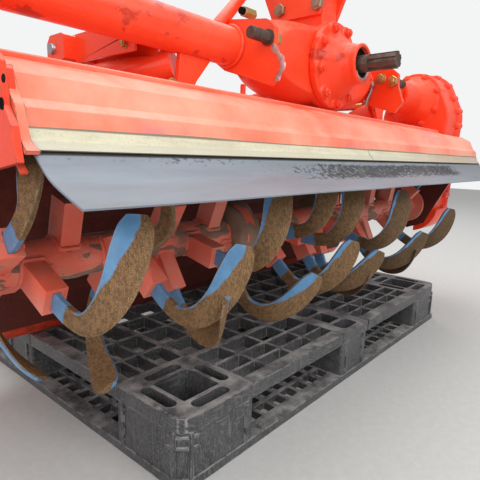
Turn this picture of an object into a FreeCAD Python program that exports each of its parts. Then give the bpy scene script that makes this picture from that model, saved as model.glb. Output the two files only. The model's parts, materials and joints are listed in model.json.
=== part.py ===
import FreeCAD, Part
import math
import os

os.makedirs("parts", exist_ok=True)
V = FreeCAD.Vector

# Frame of the part
# Millimetres, +Z up. The origin is the centre of the pallet's underside.
# +X runs along the rotor towards the chain case, -Y is the front with the input shaft.

# Pallet
PALLET_SIDE = 1100.0
PALLET_HEIGHT = 120.0
DECK_THICK = 26.0
BASE_THICK = 16.0
PALLET_CORNER_R = 34.0
PALLET_LEG_CORNER = 163.0
PALLET_LEG_MIDDLE = 116.0
# Open cells of the deck, from its middle outwards, as shares of half its side
DECK_CELLS = ((0.008, 0.100), (0.116, 0.255), (0.269, 0.404), (0.418, 0.553), (0.567, 0.693),
              (0.716, 0.809), (0.824, 0.920))
BASE_STRIP = 150.0

# Rotor
TINE_RADIUS = 229.0
DECK_CLEAR = 5.0
ROTOR_Y = -379.0
PIPE_R = 31.0
ROTOR_GAP = 6.0
ROTOR_X1 = 690.0
FLANGE_R = 60.0
FLANGE_THICK = 12.0
COUPLING_X = -266.0
HOLDER_WIDTH = 30.0
HOLDER_DEPTH = 38.0
HOLDER_TOP = 92.0
HOLDER_SLOT_CLEAR = 0.3
SOCKET_DEPTH = 32.0
TINE_THICK = 9.0
TINE_SHANK = 27.0
TINE_BLADE = 44.0
TINE_SWEEP = 44.0
TINE_BEND = 39.6
# Where the tines stand. columns: mm from the pipe's right end, degrees from +Y towards +Z,
# side of the bend
TINES = (
    (17, 150, 1), (67, 203, 1), (66, 331, 1), (122, 106, -1), (190, 166, -1), (216, 306, -1),
    (238, 218, 1), (296, 120, 1), (294, 238, -1), (358, 193, 1), (412, 112, -1), (450, 240, 1),
    (547, 177, 1), (571, 227, 1), (624, 188, 1), (668, 74, -1), (713, 238, 1), (797, 251, -1),
    (838, 203, 1), (905, 80, -1), (976, 234, 1), (1051, 246, -1), (1100, 96, -1), (1140, 40, -1),
    (1185, 221, 1), (1235, 100, -1), (1290, 50, -1), (1345, 130, -1), (1385, 75, -1), (1415, 20, -1),
)

# Beam, gear case and input shaft
CENTRE_X = 30.0
BEAM_BACK = 19.0
CASE_ABOVE_HOOD = 7.0
BEAM_R = 36.0
COLLAR_R = 52.0
COLLAR_THICK = 14.0
CASE_HALF = 215.0
CASE_FRONT = 60.0
CASE_BARREL_R = 92.0
CASE_BACK = 98.0
CASE_NECK_R = 50.0
COVER_R = 97.0
COVER_THICK = 16.0
COVER_BOLTS = 9
COVER_BOLT_R = 7.0
COVER_BOLT_CIRCLE = 86.0
SNOUT_R = 43.0
SNOUT_LENGTH = 83.0
SEAL_R = 33.0
SEAL_DEPTH = 12.0
PTO_R = 17.4
PTO_ROOT_R = 14.5
PTO_LENGTH = 162.0
PTO_SPLINE = 62.0
PTO_SPLINES = 6
PTO_BORE_CLEAR = 0.05
PTO_INSIDE = 40.0
SHAFT_SHOULDER = 4.0
BOSS_FRONT = 50.0
BOSS_BACK = 90.0
BOSS_HEIGHT = 158.0
STRUT_HALF = 63.0
STRUT_R = 19.0

# Hitch
HITCH_HALF = 289.0
HITCH_THICK = 14.0
HITCH_ROUND = 6.0
PIN_AHEAD = 96.0
PIN_ABOVE = 3.0
PIN_R = 11.0
PIN_LENGTH = 52.0
PIN_STEM_R = 9.0
PIN_NUT_R = 17.0
PIN_NUT_THICK = 16.0
MAST_GAP = 62.0
MAST_THICK = 12.0
MAST_LOW = 111.0
MAST_HOLE_R = 9.6
MAST_HOLE_AHEAD = 92.0
MAST_HOLE_ABOVE = 316.0
BRACE_R = 13.0
BRACE_HALF = 320.0

# Hood
HOOD_X0 = -769.0
SHEET_X0 = -751.0
HOOD_X1 = 866.0
HOOD_CLEAR = 37.0
HOOD_THICK = 3.2
SIDE_THICK = 8.0
HOOD_BACK_DEG = 40.5
HOOD_FRONT_DEG = 120.5
HOOD_RIB = 6.0
HOOD_RIB_DEG = (58.0, 76.0, 104.0)
LIP_LIFT = 4.3
LIP_DEG = 115.0
HINGE_LIFT = 10.6
HINGE_DEG = 36.62
HINGE_R = 6.0
HINGE_CLEAR = 0.06
HINGE_X0 = -690.0
HINGE_X1 = 660.0
KNUCKLES = 12
KNUCKLE_LENGTH = 46.0
KNUCKLE_GAP = 1.0
KNUCKLE_R = 12.0

# Front cover, zinc strip and rubber flap, as (y, z) steps from one crease to the next
FRONT_TOP_DEG = 121.87
FRONT_STEPS = ((-12.4, -26.4), (-10.0, -9.0), (-4.0, -19.5))
STRIP_STEPS = ((-5.0, -13.5), (-9.0, -9.0))
FLAP_STEPS = ((-26.5, -30.5), (-52.0, -21.5))
FRONT_SHEET = 3.0
STRIP_SHEET = 2.0
FLAP_SHEET = 5.0
STRIP_SPLIT_X = 300.0
STRIP_GAP = 2.0

# Chain case
CHAIN_X0 = 716.0
CHAIN_X1 = 838.0
CHAIN_TOP_R = 104.0
CHAIN_MID_R = 126.0
CHAIN_MID_DROP = 64.0
CHAIN_MID_AHEAD = 6.0
CHAIN_LOW_R = 92.0
CHAIN_COVER_THICK = 16.0
CHAIN_FLANGE = 10.0
CHAIN_SLEEVE_GAP = 2.0
CHAIN_SLEEVE_R = 51.0
CHAIN_CONE = 62.0
BEARING_R = 46.0
BEARING_LIP = 16.0
STUB_R = 20.0
STUB_CLEAR = 0.05
STUB_DEPTH = 22.0

# Rear cover and its spring rods
REAR_SHEET = 3.2
REAR_LIFT = 13.0
REAR_TOP_DEG = 32.5
REAR_LOW_DEG = -28.0
REAR_STEPS = 8
REAR_SIDE_GAP = 6.0
SEAT_GAP = 0.3
ARM_HALF = 475.0
ARM_WIDTH = 50.0
ARM_HEIGHT = 52.0
ARM_SHEET = 5.0
CLEVIS_WIDTH = 98.0
CLEVIS_SHEET = 6.0
CLEVIS_FRONT = 40.0
CLEVIS_BACK = 24.0
ARM_AHEAD = 12.0
ARM_PIN_BELOW = 17.0
ROD_R = 8.0
ROD_ABOVE = 34.0
ROD_EYE = 18.0
EYE_R = 16.0
EYE_CLEAR = 0.06
LUG_THICK = 8.0
LUG_PIN_R = 7.0
TRUNNION_R = 17.0
TRUNNION_PIN_R = 10.0
TRUNNION_CLEAR = 0.06
ROD_BORE_CLEAR = 1.3
LUG_BEHIND = 50.0
LUG_BELOW = 24.0
SPRING_R = 21.0
SPRING_START = 38.0
SPRING_LENGTH = 190.0
SPRING_CAP = 8.0
SLEEVE_LENGTH = 60.0

# Stays
STAY_R = 29.0

# Places worked out from the sizes above
ROTOR_Z = PALLET_HEIGHT + DECK_CLEAR + TINE_RADIUS
ROTOR_X0 = HOOD_X0 + SIDE_THICK + ROTOR_GAP
HOOD_RADIUS = TINE_RADIUS + HOOD_CLEAR
AXIS_Y = ROTOR_Y + BEAM_BACK
AXIS_Z = ROTOR_Z + HOOD_RADIUS + CASE_BARREL_R + CASE_ABOVE_HOOD
CASE_FRONT_Y = AXIS_Y - CASE_FRONT
CASE_BACK_Y = AXIS_Y + CASE_BACK
SNOUT_END_Y = CASE_FRONT_Y - SNOUT_LENGTH
PTO_TIP_Y = CASE_FRONT_Y - PTO_LENGTH
PTO_BACK_Y = CASE_FRONT_Y + PTO_INSIDE
BOSS_FRONT_Y = AXIS_Y - BOSS_FRONT
BOSS_BACK_Y = AXIS_Y + BOSS_BACK
PIN_Y = AXIS_Y - PIN_AHEAD
PIN_Z = AXIS_Z + PIN_ABOVE
MAST_LOW_Z = AXIS_Z + MAST_LOW
MAST_HOLE_Y = AXIS_Y - MAST_HOLE_AHEAD
MAST_HOLE_Z = AXIS_Z + MAST_HOLE_ABOVE
HINGE_Y = ROTOR_Y + (HOOD_RADIUS + HINGE_LIFT) * math.cos(math.radians(HINGE_DEG))
HINGE_Z = ROTOR_Z + (HOOD_RADIUS + HINGE_LIFT) * math.sin(math.radians(HINGE_DEG))
REAR_RADIUS = HOOD_RADIUS + REAR_LIFT
ARM_END_Y = ROTOR_Y + REAR_RADIUS - ARM_AHEAD
ARM_PIN_Z = AXIS_Z - ARM_PIN_BELOW
LUG_Y = ROTOR_Y + REAR_RADIUS + LUG_BEHIND
LUG_Z = ROTOR_Z - LUG_BELOW
CHAIN_SLEEVE_X0 = CENTRE_X + ARM_HALF + ARM_WIDTH / 2 + CHAIN_SLEEVE_GAP
BRACKET_HALF = (HITCH_HALF + ARM_HALF) / 2 + 3
STAY_UPPER = ARM_HALF - 57
STAY_LOWER = ARM_HALF + 27


def save(name, *solids):
    shape = solids[0] if len(solids) == 1 else Part.makeCompound(list(solids))
    shape.exportStep("parts/" + name + ".step")


def block(x0, x1, y0, y1, z0, z1):
    return Part.makeBox(x1 - x0, y1 - y0, z1 - z0, V(x0, y0, z0))


def rod(start, end, radius):
    line = V(*end) - V(*start)
    return Part.makeCylinder(radius, line.Length, V(*start), line)


def tube(start, end, radius, bore):
    return rod(start, end, radius).cut(rod(start, end, bore))


def rod_x(x0, x1, y, z, radius):
    return Part.makeCylinder(radius, x1 - x0, V(x0, y, z), V(1, 0, 0))


def prism_x(points, x0, x1):
    corners = [V(x0, y, z) for y, z in points]
    face = Part.Face(Part.makePolygon(corners + [corners[0]]))
    return face.extrude(V(x1 - x0, 0, 0))


def prism_y(points, y0, y1):
    corners = [V(x, y0, z) for x, z in points]
    face = Part.Face(Part.makePolygon(corners + [corners[0]]))
    return face.extrude(V(0, y1 - y0, 0))


def unit(a, b):
    length = math.hypot(b[0] - a[0], b[1] - a[1])
    return ((b[0] - a[0]) / length, (b[1] - a[1]) / length)


def offset_line(points, distance):
    # Moves an open (y, z) line sideways, to its right when distance is positive.
    moved = []
    for i, point in enumerate(points):
        before = unit(points[i - 1], point) if i else None
        after = unit(point, points[i + 1]) if i + 1 < len(points) else None
        first = before or after
        second = after or before
        normal = (first[1] + second[1], -first[0] - second[0])
        scale = distance / (1.0 + first[0] * second[0] + first[1] * second[1])
        moved.append((point[0] + normal[0] * scale, point[1] + normal[1] * scale))
    return moved


def bent_sheet(points, thick, x0, x1):
    return prism_x(points + offset_line(points, thick)[::-1], x0, x1)


def arc_points(y, z, radius, start, end, count):
    steps = [math.radians(start + (end - start) * i / count) for i in range(count + 1)]
    return [(y + radius * math.cos(a), z + radius * math.sin(a)) for a in steps]


def arc_band(y, z, outer, inner, start, end, x0, x1):
    # A curved sheet about the X axis through (y, z), from one angle to another.
    ring = rod_x(x0, x1, y, z, outer).cut(rod_x(x0, x1, y, z, inner))
    reach = outer * 3
    steps = 4
    wedge = [(y, z)]
    for i in range(steps + 1):
        a = math.radians(start + (end - start) * i / steps)
        wedge.append((y + reach * math.cos(a), z + reach * math.sin(a)))
    return ring.common(prism_x(wedge, x0, x1))


# Pallet pieces
def rounded_square(half, radius, z0, z1):
    body = block(-half, half, -half, half, z0, z1)
    uprights = [e for e in body.Edges if abs(e.BoundBox.ZLength - (z1 - z0)) < 0.01]
    return body.makeFillet(radius, uprights)


def pallet_deck():
    top = PALLET_HEIGHT
    half = PALLET_SIDE / 2
    plate = rounded_square(half, PALLET_CORNER_R, top - DECK_THICK, top)
    spans = [(way * a * half, way * b * half) for way in (-1, 1) for a, b in DECK_CELLS]
    cells = []
    for xa, xb in spans:
        for ya, yb in spans:
            cells.append(block(min(xa, xb), max(xa, xb), min(ya, yb), max(ya, yb),
                               top - DECK_THICK - 1, top + 1))
    return plate.cut(Part.makeCompound(cells))


def leg_places():
    edge = (PALLET_SIDE - PALLET_LEG_CORNER) / 2
    return [(i * edge, j * edge, i, j) for i in (-1, 0, 1) for j in (-1, 0, 1)]


def pallet_leg(x, y, i, j):
    half_x = (PALLET_LEG_CORNER if i else PALLET_LEG_MIDDLE) / 2
    half_y = (PALLET_LEG_CORNER if j else PALLET_LEG_MIDDLE) / 2
    z0 = BASE_THICK
    z1 = PALLET_HEIGHT - DECK_THICK
    leg = block(x - half_x, x + half_x, y - half_y, y + half_y, z0, z1)
    if i and j:
        far = [e for e in leg.Edges if e.BoundBox.ZLength > 1
               and e.CenterOfMass.x * i > abs(x) and e.CenterOfMass.y * j > abs(y)]
        leg = leg.makeFillet(PALLET_CORNER_R, far)
    return leg


def pallet_base():
    half = PALLET_SIDE / 2
    plate = rounded_square(half, PALLET_CORNER_R, 0, BASE_THICK)
    window = half - BASE_STRIP - PALLET_LEG_MIDDLE / 2
    start = PALLET_LEG_MIDDLE / 2
    for i in (-1, 1):
        for j in (-1, 1):
            x0 = start if i > 0 else -start - window
            y0 = start if j > 0 else -start - window
            plate = plate.cut(block(x0, x0 + window, y0, y0 + window, -1, BASE_THICK + 1))
    return plate


# Rotor pieces
def spin(shape, angle):
    turned = shape.copy()
    turned.rotate(V(0, ROTOR_Y, ROTOR_Z), V(1, 0, 0), angle)
    return turned


def tine_holder(x):
    # A square socket welded on the pipe, open at its end, pointing along +Y.
    half = HOLDER_WIDTH / 2
    body = block(x - half, x + half, ROTOR_Y, ROTOR_Y + HOLDER_TOP,
                 ROTOR_Z - HOLDER_DEPTH / 2, ROTOR_Z + HOLDER_DEPTH / 2)
    slot_x = TINE_THICK / 2 + HOLDER_SLOT_CLEAR
    slot_z = TINE_SHANK / 2 + HOLDER_SLOT_CLEAR
    return body.cut(block(x - slot_x, x + slot_x, ROTOR_Y + HOLDER_TOP - SOCKET_DEPTH,
                          ROTOR_Y + HOLDER_TOP + 1, ROTOR_Z - slot_z, ROTOR_Z + slot_z))


def tine(x, side):
    # The shank runs from the socket out along +Y. The blade then trails back, turns and bends sideways.
    # columns: outer edge's radius as a share, share of the sweep, share of the bend, width, twist
    sections = (
        (0.49, 0.0, 0.0, TINE_SHANK, 0.0),
        (0.62, 0.03, 0.0, TINE_SHANK, 0.0),
        (0.75, 0.10, 0.0, TINE_SHANK, 4.0),
        (0.86, 0.23, 0.06, 0.78 * TINE_BLADE, 13.0),
        (0.935, 0.39, 0.2, 0.89 * TINE_BLADE, 22.0),
        (0.98, 0.57, 0.42, TINE_BLADE, 33.0),
        (1.0, 0.78, 0.72, 1.06 * TINE_BLADE, 46.0),
        (1.0, 0.95, 1.0, 0.94 * TINE_BLADE, 55.0),
        (0.985, 1.04, 1.1, 0.55 * TINE_BLADE, 57.0),
    )
    start = HOLDER_TOP - SOCKET_DEPTH
    centres = [V(x, ROTOR_Y + start, ROTOR_Z)]
    for edge, swept, bend, width, twist in sections:
        radius = edge * TINE_RADIUS - width / 2 * math.cos(math.radians(twist)) - TINE_THICK * 0.3
        a = math.radians(-swept * TINE_SWEEP)
        centres.append(V(x + side * bend * TINE_BEND, ROTOR_Y + radius * math.cos(a),
                         ROTOR_Z + radius * math.sin(a)))
    wires = []
    shapes = [(TINE_SHANK, 0.0)] + [row[3:] for row in sections]
    last = len(centres) - 1
    for i, (width, twist) in enumerate(shapes):
        along = centres[min(i + 1, last)] - centres[max(i - 1, 0)]
        if i < 2:
            along = V(0, 1, 0)
        along.normalize()
        upright = V(1, 0, 0).cross(along)
        upright.normalize()
        across = along.cross(upright) * side
        turn = math.radians(twist)
        wide = upright * math.cos(turn) + across * math.sin(turn)
        a = wide * (width / 2)
        b = along.cross(wide) * (TINE_THICK / 2)
        corners = [centres[i] + a + b, centres[i] - a + b, centres[i] - a - b, centres[i] + a - b]
        wires.append(Part.makePolygon(corners + [corners[0]]))
    return Part.makeLoft(wires, True, True)


def rotor_pipe():
    pipe = rod_x(ROTOR_X0, ROTOR_X1, ROTOR_Y, ROTOR_Z, PIPE_R)
    for x in (COUPLING_X - FLANGE_THICK, COUPLING_X, ROTOR_X1 - FLANGE_THICK):
        pipe = pipe.fuse(rod_x(x, x + FLANGE_THICK, ROTOR_Y, ROTOR_Z, FLANGE_R))
    for place, angle, side in TINES:
        pipe = pipe.fuse(spin(tine_holder(ROTOR_X0 + place), angle))
    return pipe


# Beam, gear case and input shaft pieces
def axle_beam(x0, x1):
    body = rod_x(x0, x1, AXIS_Y, AXIS_Z, BEAM_R)
    inner = x1 - COLLAR_THICK if abs(x1 - CENTRE_X) < abs(x0 - CENTRE_X) else x0
    return body.fuse(rod_x(inner, inner + COLLAR_THICK, AXIS_Y, AXIS_Z, COLLAR_R))


def revolve_y(profile):
    # profile is a closed list of (y, radius) about the input shaft's axis.
    corners = [V(CENTRE_X + r, y, AXIS_Z) for y, r in profile]
    face = Part.Face(Part.makePolygon(corners + [corners[0]]))
    return face.revolve(V(CENTRE_X, 0, AXIS_Z), V(0, 1, 0), 360)


def case_shoulders():
    # The two arms swell from their necks to the barrel along an ellipse.
    left = V(CENTRE_X - CASE_HALF, AXIS_Y, AXIS_Z)
    right = V(CENTRE_X + CASE_HALF, AXIS_Y, AXIS_Z)
    neck = V(0, 0, CASE_NECK_R)
    crown = V(CENTRE_X, AXIS_Y, AXIS_Z + CASE_BARREL_R)
    ellipse = Part.Ellipse(right + neck, crown, V(CENTRE_X, AXIS_Y, AXIS_Z) + neck)
    outline = Part.Wire([Part.makeLine(left, right), Part.makeLine(right, right + neck),
                         Part.ArcOfEllipse(ellipse, 0, math.pi).toShape(),
                         Part.makeLine(left + neck, left)])
    return Part.Face(outline).revolve(left, V(1, 0, 0), 360)


def gear_case():
    body = revolve_y(((CASE_FRONT_Y, 0), (CASE_FRONT_Y, COVER_R), (CASE_FRONT_Y + 14, COVER_R),
                      (CASE_FRONT_Y + 20, CASE_BARREL_R), (CASE_BACK_Y - 45, CASE_BARREL_R),
                      (CASE_BACK_Y - 12, 0.72 * CASE_BARREL_R), (CASE_BACK_Y, 0.4 * CASE_BARREL_R),
                      (CASE_BACK_Y, 0)))
    boss = block(CENTRE_X - MAST_GAP / 2, CENTRE_X + MAST_GAP / 2, BOSS_FRONT_Y, BOSS_BACK_Y,
                 AXIS_Z, AXIS_Z + BOSS_HEIGHT)
    ahead = block(CENTRE_X - CASE_HALF, CENTRE_X + CASE_HALF, CASE_FRONT_Y - 100, CASE_FRONT_Y,
                  AXIS_Z - CASE_BARREL_R, AXIS_Z + CASE_BARREL_R)
    bore = rod((CENTRE_X, CASE_FRONT_Y - 1, AXIS_Z), (CENTRE_X, PTO_BACK_Y, AXIS_Z),
               PTO_ROOT_R + SHAFT_SHOULDER + 2)
    return body.fuse(case_shoulders()).fuse(boss).cut(ahead).cut(bore)


def case_strut(side):
    # A short tube from under the case back to a foot on the hood.
    x = CENTRE_X + side * STRUT_HALF
    upper = (x, AXIS_Y + 20, AXIS_Z - 0.63 * CASE_BARREL_R)
    lower = (x, HINGE_Y - 66, AXIS_Z - 0.83 * CASE_BARREL_R)
    foot = block(x - 5, x + 5, HINGE_Y - 110, HINGE_Y - 50, HINGE_Z, lower[2])
    strut = rod(upper, lower, STRUT_R).fuse(foot)
    return strut.cut(hood_blank()).cut(hood_main()).cut(gear_case())


def gear_case_cover():
    front = CASE_FRONT_Y - COVER_THICK
    body = revolve_y(((CASE_FRONT_Y, 0), (CASE_FRONT_Y, COVER_R), (front, COVER_R),
                      (front, 0.7 * COVER_R), (front - 8, 0.6 * COVER_R),
                      (front - 26, SNOUT_R + 3), (SNOUT_END_Y, SNOUT_R), (SNOUT_END_Y, 0)))
    for i in range(COVER_BOLTS):
        a = 2 * math.pi * (i + 0.25) / COVER_BOLTS
        x = CENTRE_X + COVER_BOLT_CIRCLE * math.cos(a)
        z = AXIS_Z + COVER_BOLT_CIRCLE * math.sin(a)
        body = body.fuse(rod((x, front, z), (x, front - COVER_BOLT_R, z), COVER_BOLT_R))
    recess = rod((CENTRE_X, SNOUT_END_Y - 1, AXIS_Z),
                 (CENTRE_X, SNOUT_END_Y + SEAL_DEPTH, AXIS_Z), SEAL_R)
    bore = rod((CENTRE_X, SNOUT_END_Y - 1, AXIS_Z), (CENTRE_X, CASE_FRONT_Y + 1, AXIS_Z),
               PTO_ROOT_R + SHAFT_SHOULDER + PTO_BORE_CLEAR)
    return body.cut(recess).cut(bore)


def pto_shaft():
    shoulder = PTO_ROOT_R + SHAFT_SHOULDER
    spline_end = PTO_TIP_Y + PTO_SPLINE
    body = rod((CENTRE_X, spline_end, AXIS_Z), (CENTRE_X, PTO_BACK_Y - 0.3, AXIS_Z), shoulder)
    core = rod((CENTRE_X, PTO_TIP_Y, AXIS_Z), (CENTRE_X, spline_end, AXIS_Z), PTO_ROOT_R)
    body = body.fuse(core)
    half = 0.26 * PTO_R
    for i in range(PTO_SPLINES):
        tooth = block(CENTRE_X - half, CENTRE_X + half, PTO_TIP_Y, spline_end,
                      AXIS_Z + PTO_ROOT_R - 4, AXIS_Z + PTO_R)
        tooth.rotate(V(CENTRE_X, 0, AXIS_Z), V(0, 1, 0), 360.0 * i / PTO_SPLINES)
        body = body.fuse(tooth)
    return body


# Hitch pieces
def hitch_plate(side):
    # columns: y, z of the plate's corners, from the top front round the beam
    corners = ((PIN_Y - 12, PIN_Z + 20), (PIN_Y + 5, PIN_Z + 34), (AXIS_Y + 12, AXIS_Z + 52),
               (AXIS_Y + 44, AXIS_Z + 24), (AXIS_Y + 44, AXIS_Z - 22), (AXIS_Y + 12, AXIS_Z - 44),
               (PIN_Y - 8, PIN_Z - 84), (PIN_Y - 30, PIN_Z - 56), (PIN_Y - 14, PIN_Z - 14))
    outer = CENTRE_X + side * HITCH_HALF
    inner = outer - side * HITCH_THICK
    plate = prism_x(corners, min(outer, inner), max(outer, inner))
    plate = plate.makeFillet(HITCH_ROUND, [e for e in plate.Edges if e.BoundBox.XLength > 1])
    x0 = min(outer, inner) - 1
    plate = plate.cut(rod_x(x0, x0 + HITCH_THICK + 2, AXIS_Y, AXIS_Z, BEAM_R))
    return plate.cut(rod_x(x0, x0 + HITCH_THICK + 2, PIN_Y, PIN_Z, PIN_STEM_R))


def lower_pin(side):
    outer = CENTRE_X + side * HITCH_HALF
    inner = outer - side * HITCH_THICK
    tip = outer + side * PIN_LENGTH
    nut = inner - side * PIN_NUT_THICK
    pin = rod((outer, PIN_Y, PIN_Z), (tip, PIN_Y, PIN_Z), PIN_R)
    stem = rod((inner, PIN_Y, PIN_Z), (outer, PIN_Y, PIN_Z), PIN_STEM_R)
    hexagon = rod((nut, PIN_Y, PIN_Z), (inner, PIN_Y, PIN_Z), PIN_NUT_R)
    return pin.fuse(stem).fuse(hexagon)


def mast_plate(side):
    inner = CENTRE_X + side * MAST_GAP / 2
    outer = inner + side * MAST_THICK
    corners = ((BOSS_FRONT_Y + 5, MAST_LOW_Z), (BOSS_BACK_Y - 5, MAST_LOW_Z),
               (BOSS_BACK_Y + 50, MAST_LOW_Z + 118), (BOSS_BACK_Y + 46, MAST_LOW_Z + 140),
               (MAST_HOLE_Y + 34, MAST_HOLE_Z + 24), (MAST_HOLE_Y + 10, MAST_HOLE_Z + 28),
               (MAST_HOLE_Y - 22, MAST_HOLE_Z + 18), (MAST_HOLE_Y - 26, MAST_HOLE_Z - 16),
               (BOSS_FRONT_Y - 38, MAST_LOW_Z + 100))
    plate = prism_x(corners, min(inner, outer), max(inner, outer))
    x0 = min(inner, outer) - 1
    return plate.cut(rod_x(x0, x0 + MAST_THICK + 2, MAST_HOLE_Y, MAST_HOLE_Z, MAST_HOLE_R))


def mast_brace(side):
    outer = CENTRE_X + side * (MAST_GAP / 2 + MAST_THICK)
    top = (outer + side * 8, AXIS_Y + 112, MAST_LOW_Z + 125)
    low = (CENTRE_X + side * BRACE_HALF, AXIS_Y + 6, AXIS_Z + 30)
    bar = rod(low, top, BRACE_R)
    bar = bar.cut(block(min(outer, outer - side * 40), max(outer, outer - side * 40),
                        AXIS_Y - 100, AXIS_Y + 200, AXIS_Z, MAST_HOLE_Z + 50))
    return bar.cut(hitch_plate(side)).cut(axle_blank())


# Chain case pieces
def two_circle_face(x, first, second, inset):
    # Two circles, each (y, z, radius), joined by their outer tangents.
    first_r = first[2] - inset
    second_r = second[2] - inset
    dy = second[0] - first[0]
    dz = second[1] - first[1]
    base = math.atan2(dz, dy)
    spread = math.acos((first_r - second_r) / math.hypot(dy, dz))
    marks = []
    for sign in (-1, 1):
        a = base + sign * spread
        marks.append((V(x, first[0] + first_r * math.cos(a), first[1] + first_r * math.sin(a)),
                      V(x, second[0] + second_r * math.cos(a), second[1] + second_r * math.sin(a))))
    top_mid = V(x, first[0] - first_r * math.cos(base), first[1] - first_r * math.sin(base))
    low_mid = V(x, second[0] + second_r * math.cos(base), second[1] + second_r * math.sin(base))
    edges = [Part.LineSegment(marks[0][0], marks[0][1]).toShape(),
             Part.Arc(marks[0][1], low_mid, marks[1][1]).toShape(),
             Part.LineSegment(marks[1][1], marks[1][0]).toShape(),
             Part.Arc(marks[1][0], top_mid, marks[0][0]).toShape()]
    return Part.Face(Part.Wire(edges))


def chain_slab(x0, x1, inset):
    # The case's outline goes round a wheel on the beam's axis, a larger one below it and the rotor.
    wheels = ((AXIS_Y, AXIS_Z, CHAIN_TOP_R),
              (AXIS_Y - CHAIN_MID_AHEAD, AXIS_Z - CHAIN_MID_DROP, CHAIN_MID_R),
              (ROTOR_Y, ROTOR_Z, CHAIN_LOW_R))
    slabs = [two_circle_face(x0, first, second, inset).extrude(V(x1 - x0, 0, 0))
             for first, second in zip(wheels, wheels[1:])]
    return slabs[0].fuse(slabs[1]).removeSplitter()


def chain_case():
    body = chain_slab(CHAIN_X0, CHAIN_X1, CHAIN_FLANGE)
    body = body.fuse(chain_slab(CHAIN_X1 - CHAIN_FLANGE, CHAIN_X1, 0))
    body = body.fuse(rod_x(CHAIN_SLEEVE_X0, CHAIN_X0, AXIS_Y, AXIS_Z, CHAIN_SLEEVE_R))
    body = body.fuse(Part.makeCone(CHAIN_SLEEVE_R, CHAIN_TOP_R - CHAIN_FLANGE - 12, CHAIN_CONE,
                                   V(CHAIN_X0 - CHAIN_CONE, AXIS_Y, AXIS_Z), V(1, 0, 0)))
    body = body.fuse(rod_x(CHAIN_X0 - SIDE_THICK - 4, CHAIN_X0, ROTOR_Y, ROTOR_Z,
                           BEARING_R - SEAT_GAP))
    pocket = rod_x(CHAIN_SLEEVE_X0 - 1, CHAIN_X0 - 4, AXIS_Y, AXIS_Z, BEAM_R)
    stub = rod_x(CHAIN_X0 - SIDE_THICK - 5, CHAIN_X0 + STUB_DEPTH, ROTOR_Y, ROTOR_Z,
                 STUB_R + STUB_CLEAR)
    return body.cut(pocket).cut(stub)


def chain_case_cover():
    plate = chain_slab(CHAIN_X1, CHAIN_X1 + CHAIN_FLANGE, 0)
    return plate.fuse(chain_slab(CHAIN_X1 + CHAIN_FLANGE, CHAIN_X1 + CHAIN_COVER_THICK, 20))


def chain_case_guard():
    # A wear rib curved round the case's lower front.
    ring = rod_x(CHAIN_X0, CHAIN_X1, ROTOR_Y, ROTOR_Z, CHAIN_LOW_R + 6)
    ring = ring.cut(chain_slab(CHAIN_X0 - 1, CHAIN_X1 - CHAIN_FLANGE, CHAIN_FLANGE))
    ring = ring.cut(chain_slab(CHAIN_X1 - CHAIN_FLANGE - 1, CHAIN_X1 + 1, 0))
    keep = block(CHAIN_X0, CHAIN_X1, ROTOR_Y - 200, ROTOR_Y - 20, ROTOR_Z - 200, ROTOR_Z - 12)
    return ring.common(keep)


# Hood pieces
def side_plate():
    # Its front edge carries a narrow flange that the front cover ends on.
    x0 = HOOD_X0
    inner = x0 + SIDE_THICK
    top, crease_up, crease_low, low = front_line()[1:]
    strip = strip_line()[-1]
    corners = ((top[0] - 14, top[1] + 6), (crease_low[0] + 3, crease_low[1]), (low[0] - 8, low[1]),
               (strip[0] - 2, strip[1] - 12), (strip[0] + 58, strip[1] - 21),
               (ROTOR_Y - 66, ROTOR_Z + 80), (ROTOR_Y - 66, ROTOR_Z - 30),
               (ROTOR_Y - 44, ROTOR_Z - 66), (ROTOR_Y, ROTOR_Z - 80), (ROTOR_Y + 50, ROTOR_Z - 62),
               (ROTOR_Y + 76, ROTOR_Z), (HINGE_Y - 30, HINGE_Z - 60), (HINGE_Y - 22, HINGE_Z + 4),
               (ROTOR_Y + 130, ROTOR_Z + HOOD_RADIUS - 28), (AXIS_Y + 56, AXIS_Z - 20),
               (AXIS_Y + 50, AXIS_Z + 34), (AXIS_Y, AXIS_Z + 56), (AXIS_Y - 50, AXIS_Z + 34),
               (AXIS_Y - 56, AXIS_Z - 20), (ROTOR_Y - 70, ROTOR_Z + HOOD_RADIUS + 6),
               (top[0] + 10, top[1] + 16), (top[0] - 6, top[1] + 14))
    plate = prism_x(corners, x0, inner)
    edge = [(top[0] - 12, top[1]), (crease_low[0] + 6, crease_low[1]), (low[0] + 12, low[1] - 24),
            (low[0] - 6, low[1] - 44)]
    plate = plate.fuse(bent_sheet(edge, -FRONT_SHEET, inner, SHEET_X0 - STRIP_GAP))
    plate = plate.cut(rod_x(x0 - 1, inner + 1, AXIS_Y, AXIS_Z, BEAM_R))
    return plate.cut(rod_x(x0 - 1, inner + 1, ROTOR_Y, ROTOR_Z, BEARING_R))


def bearing_housing():
    inner = HOOD_X0 + SIDE_THICK
    body = rod_x(inner - STUB_DEPTH - 10, inner, ROTOR_Y, ROTOR_Z, BEARING_R)
    body = body.fuse(rod_x(HOOD_X0 - FLANGE_THICK, HOOD_X0, ROTOR_Y, ROTOR_Z,
                           BEARING_R + BEARING_LIP))
    return body.cut(rod_x(inner - STUB_DEPTH, inner + 1, ROTOR_Y, ROTOR_Z, STUB_R + STUB_CLEAR))


def rotor_stubs():
    right = rod_x(ROTOR_X0 - ROTOR_GAP - STUB_DEPTH + 1, ROTOR_X0, ROTOR_Y, ROTOR_Z, STUB_R)
    left = rod_x(ROTOR_X1, CHAIN_X0 + STUB_DEPTH - 1, ROTOR_Y, ROTOR_Z, STUB_R)
    return right, left


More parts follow.
